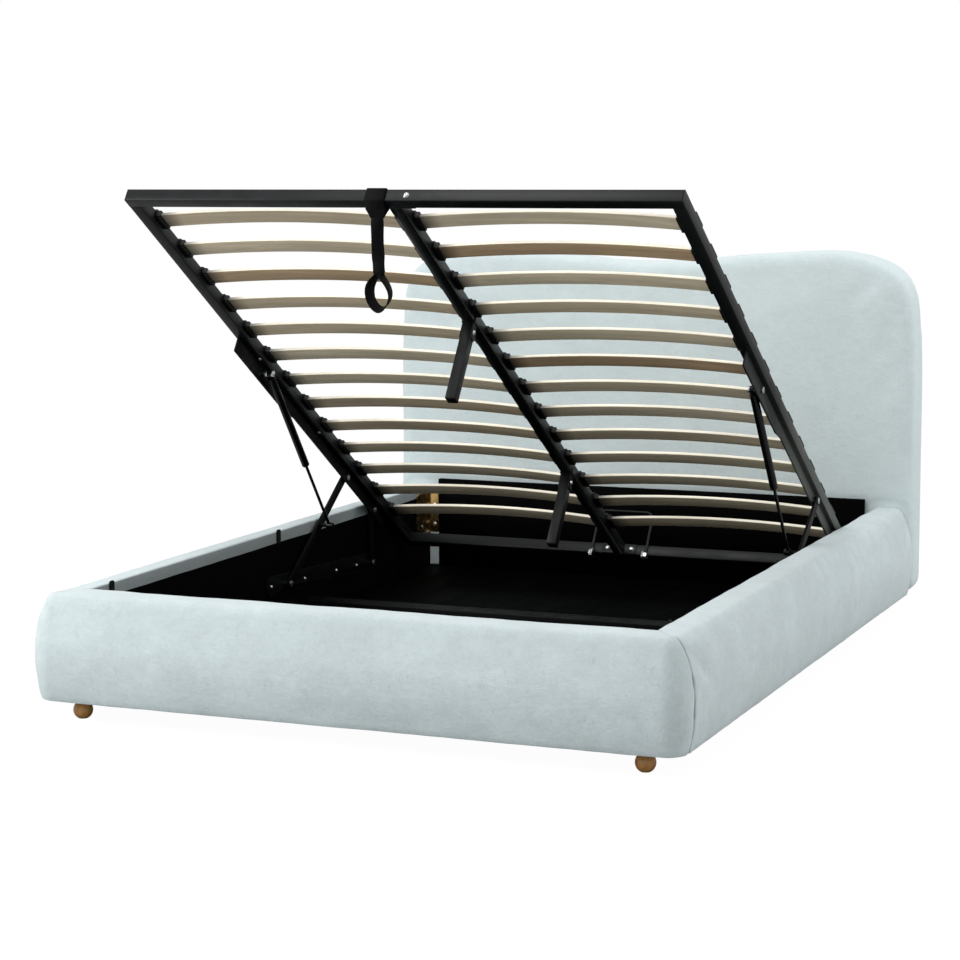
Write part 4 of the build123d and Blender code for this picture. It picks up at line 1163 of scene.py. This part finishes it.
class BED_OT_lay_slats(bpy.types.Operator):
    """Lays two columns of bent slats in their holders"""
    bl_idname = "bed.lay_slats"
    bl_label = "Lay slats"

    def execute(self, context):
        sizes = context.scene.bed_sizes
        pitch = (FRAME_LENGTH - SLAT_FIRST - SLAT_LAST) / (sizes.slat_count - 1)
        step = tuple(DOWN_FRAME * pitch)
        for name, side in SIDES.items():
            slat = pattern("slat", *slat_form(side), "beech_slat")
            smooth(slat, 50)
            slats = grown(f"bent_slats_{name}", "row", "beech_slat", Piece=slat, Count=sizes.slat_count,
                          Step=step, Seed=sizes.slat_seed + side)
            drop(slat)
            tones = slats.data.attributes["tone"].data
            share = len(tones) // sizes.slat_count
            for row in WARM_ROWS[name]:
                for k in range(row * share, (row + 1) * share):
                    tones[k].value = WARM_TONE
            # the edges take the paler edge colour, which is partly painted light
            slats.data.materials.append(finish("slat_edge"))
            slats.data.update()
            for face in slats.data.polygons:
                face.material_index = 1 if abs(face.normal.dot(DOWN_FRAME)) > 0.8 else 0
            settle(slats, "lift_frame", "beech_slat", f"slats_{name}", angle=50)
        groups = {"side_left": [(1, -(FRAME_HALF - TUBE))], "side_right": [(-1, FRAME_HALF - TUBE)],
                  "centre": [(-1, -TUBE / 2), (1, TUBE / 2)]}
        for name, places in groups.items():
            holders = []
            for side, face_x in places:
                holder = holder_form(side, face_x)
                holders.append(grown(f"holders_{name}", "row", "black_plastic", Piece=holder,
                                     Count=sizes.slat_count, Step=step))
                drop(holder)
            if len(holders) > 1:
                join(holders)
            settle(holders[0], "lift_frame", "black_plastic", f"slat_holders_{name}", angle=35)
        return {"FINISHED"}


def join(objects):
    """Puts the meshes of several pieces in the first one."""
    work = bmesh.new()
    for obj in objects:
        work.from_mesh(obj.data)
    work.to_mesh(objects[0].data)
    work.free()
    for obj in objects[1:]:
        bpy.data.objects.remove(obj)


# Fasteners: each head stands where the CAD has its disc

def islands(name):
    """Middle, half thickness, radius and axis of each separate disc of a CAD node."""
    work = bmesh.new()
    work.from_mesh(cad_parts[name].data)
    bmesh.ops.remove_doubles(work, verts=work.verts, dist=0.02 * MM)
    left, found = set(work.verts), []
    while left:
        group, queue = set(), [left.pop()]
        while queue:
            vertex = queue.pop()
            group.add(vertex)
            for edge in vertex.link_edges:
                other = edge.other_vert(vertex)
                if other in left:
                    left.discard(other)
                    queue.append(other)
        places = [v.co.copy() for v in group]
        middle = sum(places, Vector()) / len(places)
        flat = max((f for v in group for f in v.link_faces), key=lambda f: f.calc_area()).normal.copy()
        thick = max((p - middle).dot(flat) for p in places)
        radius = max(((p - middle) - flat * (p - middle).dot(flat)).length for p in places)
        found.append((middle, thick, radius, flat))
    work.free()
    return sorted(found, key=lambda f: tuple(round(c, 3) for c in f[0]))


def screw_head(radius, height):
    """Button head with a flange and a six-sided socket."""
    return pattern("screw_head", *lathe([
        (0, 0, False), (radius * 1.15, 0, False), (radius * 1.18, height * 0.12, False),
        (radius * 1.05, height * 0.28, False), (radius * 0.98, height * 0.34, False),
        (radius * 0.9, height * 0.68, False), (radius * 0.68, height * 0.92, False),
        (radius * 0.52, height, False), (radius * 0.45, height * 0.98, True),
        (radius * 0.43, height * 0.45, True), (0, height * 0.42, False),
    ]), "bright_zinc")


def hex_head(radius, height):
    """Six-sided head on a washer, its top edge chamfered."""
    return pattern("hex_head", *lathe([
        (0, 0, False), (radius * 1.35, 0, False), (radius * 1.38, height * 0.1, False),
        (radius * 1.3, height * 0.2, False), (radius * 1.05, height * 0.22, False),
        (radius, height * 0.24, True), (radius, height * 0.86, True), (radius * 0.84, height, False),
        (0, height, False),
    ], 36), "bright_zinc")


def facing_out(middle, flat):
    """The way that a head faces: into the box from the walls, and out of the frame."""
    if abs(flat.x) > 0.9:
        inner = abs(middle.x) > 0.5 * WALL_X
        return Vector((-math.copysign(1, middle.x) if inner else math.copysign(1, middle.x), 0, 0))
    if abs(flat.dot(UP_FRAME)) > 0.9:
        return -UP_FRAME
    station = (middle - FOOT_END).dot(DOWN_FRAME)
    if abs(flat.dot(DOWN_FRAME)) > 0.9:
        return -DOWN_FRAME
    return Vector((0, -1, 0)) if station > 0 else flat


# CAD node, form of its heads, body, and how much larger the heads look than their discs
FASTENERS = (
    ("base_plate_screws", screw_head, "bed_base", 1.0),
    ("bracket_bolts", screw_head, "bed_base", 1.0),
    ("frame_bolts", screw_head, "lift_frame", 1.15),
    ("mattress_stop_nuts", hex_head, "lift_frame", 1.75),
)


class BED_OT_drive_fasteners(bpy.types.Operator):
    """Puts screw, bolt and nut heads in place of the plain discs"""
    bl_idname = "bed.drive_fasteners"
    bl_label = "Drive fasteners"

    def execute(self, context):
        for node, form, body, grow in FASTENERS:
            found = islands(node)
            radius = found[0][2] * 0.85 * grow
            height = max(2.2 * MM, 2 * found[0][1])
            head = form(radius, height)
            ways = [facing_out(middle, flat) for middle, _, _, flat in found]
            places = [middle - way * thick for (middle, thick, _, _), way in zip(found, ways)]
            heads = grown(f"{node}_heads", "spot", "bright_zinc", places, ways, Piece=head,
                          Seed=context.scene.bed_sizes.slat_seed)
            drop(head)
            settle(heads, body, "bright_zinc", node, angle=35)
        return {"FINISHED"}


# Strap: a cuff sewn round the foot tube, and a hand loop on a twisted stem

STRAP_X = -39 * MM
CUFF_WIDTH = 48 * MM
CUFF_THICK = 2 * MM
STRAP_THICK = 2.16 * MM
STEM_DROP = 145 * MM
STEM_WIDTH = 28 * MM
STEM_STEPS = 12
LOOP_WIDTH = 27 * MM
LOOP_CLEAR = 8 * MM
PLY_GAP = 1.2 * MM
CUFF_PLAY = 5 * MM
TAB_PLY = 0.9 * MM
# hand loop as shares of its reach and drop, from the stem down its wide left side and up its right side
LOOP_REACH = 31 * MM
LOOP_SHARES = (
    (0.1, 0), (-0.36, 0.15), (-0.68, 0.36), (-0.66, 0.62), (-0.36, 0.85), (0.16, 1.0),
    (0.62, 0.9), (0.95, 0.7), (1.0, 0.5), (0.76, 0.3), (0.4, 0.12), (0.1, 0),
)


def ribbon(name, line, across, widths, thick):
    """A flat band along a line: across gives its width's direction at each place."""
    points, ring, count = [], 8, len(line)
    for k, (place, way, width) in enumerate(zip(line, across, widths)):
        before, after = line[max(0, k - 1)], line[min(count - 1, k + 1)]
        forward = (after - before).normalized()
        way = (way - forward * way.dot(forward)).normalized()
        up = forward.cross(way)
        half, edge = width / 2, thick / 2
        shape = ((-half, 0), (-half + edge * 0.6, -edge), (0, -edge * 0.94), (half - edge * 0.6, -edge),
                 (half, 0), (half - edge * 0.6, edge), (0, edge * 0.94), (-half + edge * 0.6, edge))
        points += [place + way * a + up * b for a, b in shape]
    faces = sheet_faces(count, ring, True)
    faces += [tuple(range(ring)), tuple(range((count - 1) * ring, count * ring))]
    obj = mesh_piece(name, points, faces, "black_webbing")
    return close_up(obj)


class BED_OT_sew_strap(bpy.types.Operator):
    """Sews the webbing cuff round the foot tube and hangs the pull strap from it"""
    bl_idname = "bed.sew_strap"
    bl_label = "Sew strap"

    def execute(self, context):
        near, far = -CUFF_PLAY + CUFF_THICK / 2, TUBE + CUFF_PLAY - CUFF_THICK / 2
        low, high = -CUFF_THICK / 2, TUBE + CUFF_THICK / 2
        tab_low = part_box("strap_cuff")[0]
        strap_low, strap_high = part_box("pull_strap")
        tab_y = strap_low.lerp(strap_high, 0.5).y
        corners = [(near, low), (near, high), (far, high), (far, low)]
        around = [on_frame(0, s, r) for s, r in corners]
        tab = Vector((0, tab_y, tab_low.z))
        ply = Vector((0, TAB_PLY, 0))
        loop = [tab - ply] + around + [tab + ply]
        loop = softened(loop, 1.5 * MM, 5)
        widths = []
        for place in loop:
            fall = max(0.0, min(1.0, (around[3].z - place.z) / (around[3].z - tab.z)))
            widths.append(CUFF_WIDTH * (1 - 0.32 * fall ** 0.8))
        line = [p + Vector((STRAP_X, 0, 0)) for p in loop]
        cuff = ribbon("webbing_cuff", line, [Vector((1, 0, 0))] * len(line), widths, CUFF_THICK)
        settle(cuff, "lift_frame", "black_webbing", "strap_cuff", angle=60)
        self.hang_strap(strap_low.z, strap_high.z, tab_y)
        return {"FINISHED"}

    def hang_strap(self, low, high, tab_y):
        """Stem and hand loop in one band: down the stem, round the loop and back up the stem."""
        top, bottom = high + 0.5 * MM, low + LOOP_CLEAR
        split = on_frame(0, TUBE, 0).z - STEM_DROP
        loop = [Vector((STRAP_X + LOOP_REACH * a, tab_y, split + (bottom - split) * b))
                for a, b in LOOP_SHARES]
        stem = []
        for k in range(STEM_STEPS):
            share = k / STEM_STEPS
            drift = 5 * MM * max(0.0, share - 0.4)
            stem.append(Vector((STRAP_X + drift, tab_y, top - (top - split) * share)))
        ply = Vector((0, PLY_GAP, 0))
        line = [p - ply for p in stem] + loop + [p + ply for p in stem[::-1]]
        line = softened(line, 4 * MM, 6)
        across, widths = [], []
        for place in line:
            fall = (top - place.z) / (top - split)
            if fall < 1:
                twist = math.sin(math.pi * min(1.0, fall * 1.25))
                across.append(Vector((1, 0.9 * twist, 0)))
                widths.append(STEM_WIDTH)
            else:
                right = max(0.0, min(1.0, (place.x - STRAP_X) / LOOP_REACH * 0.6 + 0.4))
                low_share = max(0.0, (split - place.z) / (split - bottom) - 0.55)
                turned = Vector((0.5, 0.85, 0)).lerp(Vector((-0.1, 1, 0.2)), right)
                across.append(turned + Vector((0, 0, low_share)))
                widths.append(LOOP_WIDTH)
        strap = ribbon("hand_strap", line, across, widths, STRAP_THICK)
        settle(strap, "pull_strap", "black_webbing", "pull_strap", angle=60)


# Stage: white floor and background, soft lamps, and the camera of the photograph

FLOOR_REACH = 30
FLOOR_TONE = "#AAAAAA"
FLOOR_GLOW = 1.08
GLOW_SHARE = 0.9
CAMERA_PLACE = (2.2755, -5.7303, 1.2643)
YAW, PITCH, ROLL = 0.395, 0.1306, -0.0049
FOCAL_PIXELS = 2458.35
PHOTO_PIXELS = 960
SENSOR = 36
# lamps: name, place, size in metres
LAMPS = {
    "key": ((-2.6, -2.4, 1.8), 1.6),
    "top": ((-0.6, -2.2, 4.2), 2.6),
    "fill": ((4.6, 2.0, 2.8), 2.5),
}
LAMPS_AIM = Vector((0, 0, 0.4))


class BED_OT_set_stage(bpy.types.Operator):
    """Adds the pale floor, the soft studio light and the camera"""
    bl_idname = "bed.set_stage"
    bl_label = "Set stage"

    def execute(self, context):
        scene = context.scene
        reach = FLOOR_REACH
        mesh = bpy.data.meshes.new("floor")
        mesh.from_pydata([(-reach, -reach, 0), (reach, -reach, 0), (reach, reach, 0), (-reach, reach, 0)],
                         [], [(0, 1, 2, 3)])
        floor = bpy.data.objects.new("floor", mesh)
        scene.collection.objects.link(floor)
        material = bpy.data.materials.new("paper_white_matte")
        material.use_nodes = True
        tree = material.node_tree
        tree.nodes.clear()
        path = add(tree, "ShaderNodeLightPath")
        matte = add(tree, "ShaderNodeBsdfDiffuse", {"Color": linear(FLOOR_TONE)})
        glow = add(tree, "ShaderNodeEmission", {"Color": (1, 1, 1, 1), "Strength": FLOOR_GLOW})
        share = add(tree, "ShaderNodeMath", {0: path.outputs["Is Camera Ray"], 1: GLOW_SHARE},
                    operation="MULTIPLY").outputs[0]
        mixed = add(tree, "ShaderNodeMixShader", {0: share, 1: matte.outputs[0], 2: glow.outputs[0]})
        add(tree, "ShaderNodeOutputMaterial", {"Surface": mixed.outputs[0]})
        mesh.materials.append(material)
        self.light(scene)
        self.aim(scene)
        return {"FINISHED"}

    def light(self, scene):
        """White background, an even ambient light and three large soft lamps."""
        light = scene.bed_light
        world = bpy.data.worlds.new("studio")
        scene.world = world
        world.use_nodes = True
        tree = world.node_tree
        tree.nodes.clear()
        path = add(tree, "ShaderNodeLightPath")
        rays = {0: path.outputs["Is Camera Ray"], 1: path.outputs["Is Transmission Ray"]}
        seen = add(tree, "ShaderNodeMath", rays, operation="MAXIMUM").outputs[0]
        dim = add(tree, "ShaderNodeBackground", {"Color": (1, 1, 1, 1), "Strength": light.ambient})
        white = add(tree, "ShaderNodeBackground", {"Color": (1, 1, 1, 1), "Strength": 1.0})
        mixed = add(tree, "ShaderNodeMixShader", {0: seen, 1: dim.outputs[0], 2: white.outputs[0]})
        add(tree, "ShaderNodeOutputWorld", {"Surface": mixed.outputs[0]})
        for name, (place, size) in LAMPS.items():
            lamp = bpy.data.lights.new(f"softbox_{name}", "AREA")
            lamp.shape = "DISK"
            lamp.size = size
            lamp.energy = getattr(light, name)
            obj = bpy.data.objects.new(f"softbox_{name}", lamp)
            obj.location = place
            obj.rotation_euler = (LAMPS_AIM - Vector(place)).to_track_quat("-Z", "Y").to_euler()
            scene.collection.objects.link(obj)

    def aim(self, scene):
        """The photograph's camera: a long lens to the right of the foot end, a little over the frame."""
        lens = bpy.data.cameras.new("camera")
        lens.sensor_width = SENSOR
        lens.lens = FOCAL_PIXELS / PHOTO_PIXELS * SENSOR
        lens.clip_end = 100
        obj = bpy.data.objects.new("camera", lens)
        obj.location = CAMERA_PLACE
        right = Vector((math.cos(YAW), math.sin(YAW), 0))
        ahead = Vector((-math.sin(YAW), math.cos(YAW), 0)) * math.cos(PITCH)
        ahead.z = -math.sin(PITCH)
        level = Matrix((right, right.cross(ahead), -ahead)).transposed()
        obj.rotation_euler = (level @ Matrix.Rotation(ROLL, 3, "Z")).to_euler()
        scene.collection.objects.link(obj)
        scene.camera = obj
        scene.view_settings.view_transform = "Standard"


def length_size(name, text, default, low, high):
    """A length that a user may change."""
    return bpy.props.FloatProperty(name=name, description=text, default=default, min=low, max=high,
                                   unit="LENGTH", precision=4)


def count_size(name, text, default, **limits):
    """A whole number that a user may change."""
    return bpy.props.IntProperty(name=name, description=text, default=default, **limits)


def strength(name, text, default, **more):
    """A strength that a user may change."""
    return bpy.props.FloatProperty(name=name, description=text, default=default, min=0, **more)


class BedSizes(bpy.types.PropertyGroup):
    """Sizes that a user may change"""
    pad_grid: length_size(
        "Padding grid", "Gap between the points of the rails' padding", 12 * MM, 6 * MM, 40 * MM)
    headboard_grid: length_size(
        "Headboard grid", "Gap between the points of the headboard", 12 * MM, 6 * MM, 40 * MM)
    pad_pressure: strength("Padding pressure", "How hard the padding swells", 2.5, max=20)
    staple_gap: length_size(
        "Staple gap", "Distance between the staples of the back cloth", 55 * MM, 10 * MM, 0.3)
    slat_count: count_size("Slats", "Slats in each column", 13, min=2, max=30)
    slat_seed: count_size("Seed", "Seed of the slats' tones", 4, min=0)


def shade_choice(name, text, code):
    """A colour that a user may change, given as a hex value."""
    return bpy.props.FloatVectorProperty(name=name, description=text, subtype="COLOR", size=3, min=0, max=1,
                                         default=linear(code)[:3])


class BedColours(bpy.types.PropertyGroup):
    """Colours that a user may change"""
    velvet: shade_choice("Velvet", "Pile of the padding", "#C1CDCF")
    steel: shade_choice("Steel", "Powder coat of the tubes", "#0C0E0F")
    # a paler grey-green tint on the right side tube's lower half
    dust: shade_choice("Dust", "Paler grey-green tint on the right side tube", "#474B46")
    plate: shade_choice("Plate", "Powder coat of the plates and arms", "#060708")
    slat: shade_choice("Slat", "Faces of the slats", "#E0D4B8")
    slat_warm: shade_choice("Warm slat", "Faces of the warmer slats", "#A3794A")
    # partly painted light: the lit edges are given a paler colour than the faces
    slat_edge: shade_choice("Slat edge", "Planed edges of the slats", "#F7F0DE")
    oak: shade_choice("Oak", "Feet", "#B07D3F")
    pine: shade_choice("Pine", "Boards and ledges", "#C8A878")
    plastic: shade_choice("Plastic", "Holders, caps and plugs", "#060707")
    zinc: shade_choice("Zinc", "Bolts and pins", "#C9CBCE")
    zinc_tint: shade_choice("Zinc tint", "Cloudy parts of the plating", "#9CA0A6")
    yellow_zinc: shade_choice("Yellow zinc", "Corner brackets", "#E6BE74")
    lining: shade_choice("Lining", "Cloth and boards in the box", "#020202")
    webbing: shade_choice("Webbing", "Strap, cuff and rubber", "#070708")


class BedLight(bpy.types.PropertyGroup):
    """Light that a user may change"""
    key: strength("Key", "Lamp on the left", 60, unit="POWER")
    top: strength("Top", "Lamp over the foot end", 80, unit="POWER")
    fill: strength("Fill", "Lamp on the right", 95, unit="POWER")
    ambient: strength("Ambient", "Even light from all round", 0.78)


class BED_PT_build(bpy.types.Panel):
    """Lists the bed's sizes, colours and build steps"""
    bl_label = "Bed"
    bl_idname = "BED_PT_build"
    bl_space_type = "VIEW_3D"
    bl_region_type = "UI"
    bl_category = "Bed"

    def draw(self, context):
        for group in (context.scene.bed_sizes, context.scene.bed_colours, context.scene.bed_light):
            for name in group.__annotations__:
                self.layout.prop(group, name)
        for step in STEPS:
            self.layout.operator(step.bl_idname)


STEPS = (
    BED_OT_upholster_rails, BED_OT_upholster_headboard, BED_OT_line_box, BED_OT_turn_feet,
    BED_OT_coat_frame, BED_OT_lay_slats, BED_OT_drive_fasteners, BED_OT_sew_strap, BED_OT_set_stage,
)
CLASSES = (BedSizes, BedColours, BedLight, BED_PT_build) + STEPS


def register():
    """Registers the classes and the scene's settings."""
    for entry in CLASSES:
        bpy.utils.register_class(entry)
    bpy.types.Scene.bed_sizes = bpy.props.PointerProperty(type=BedSizes)
    bpy.types.Scene.bed_colours = bpy.props.PointerProperty(type=BedColours)
    bpy.types.Scene.bed_light = bpy.props.PointerProperty(type=BedLight)


def unregister():
    """Takes the classes and the scene's settings out again."""
    del bpy.types.Scene.bed_light
    del bpy.types.Scene.bed_colours
    del bpy.types.Scene.bed_sizes
    for entry in reversed(CLASSES):
        bpy.utils.unregister_class(entry)


def main():
    register()
    bpy.ops.bed.upholster_rails()
    bpy.ops.bed.upholster_headboard()
    bpy.ops.bed.line_box()
    bpy.ops.bed.turn_feet()
    bpy.ops.bed.coat_frame()
    bpy.ops.bed.lay_slats()
    bpy.ops.bed.drive_fasteners()
    bpy.ops.bed.sew_strap()
    bpy.ops.bed.set_stage()


if __name__ == "__main__":
    main()
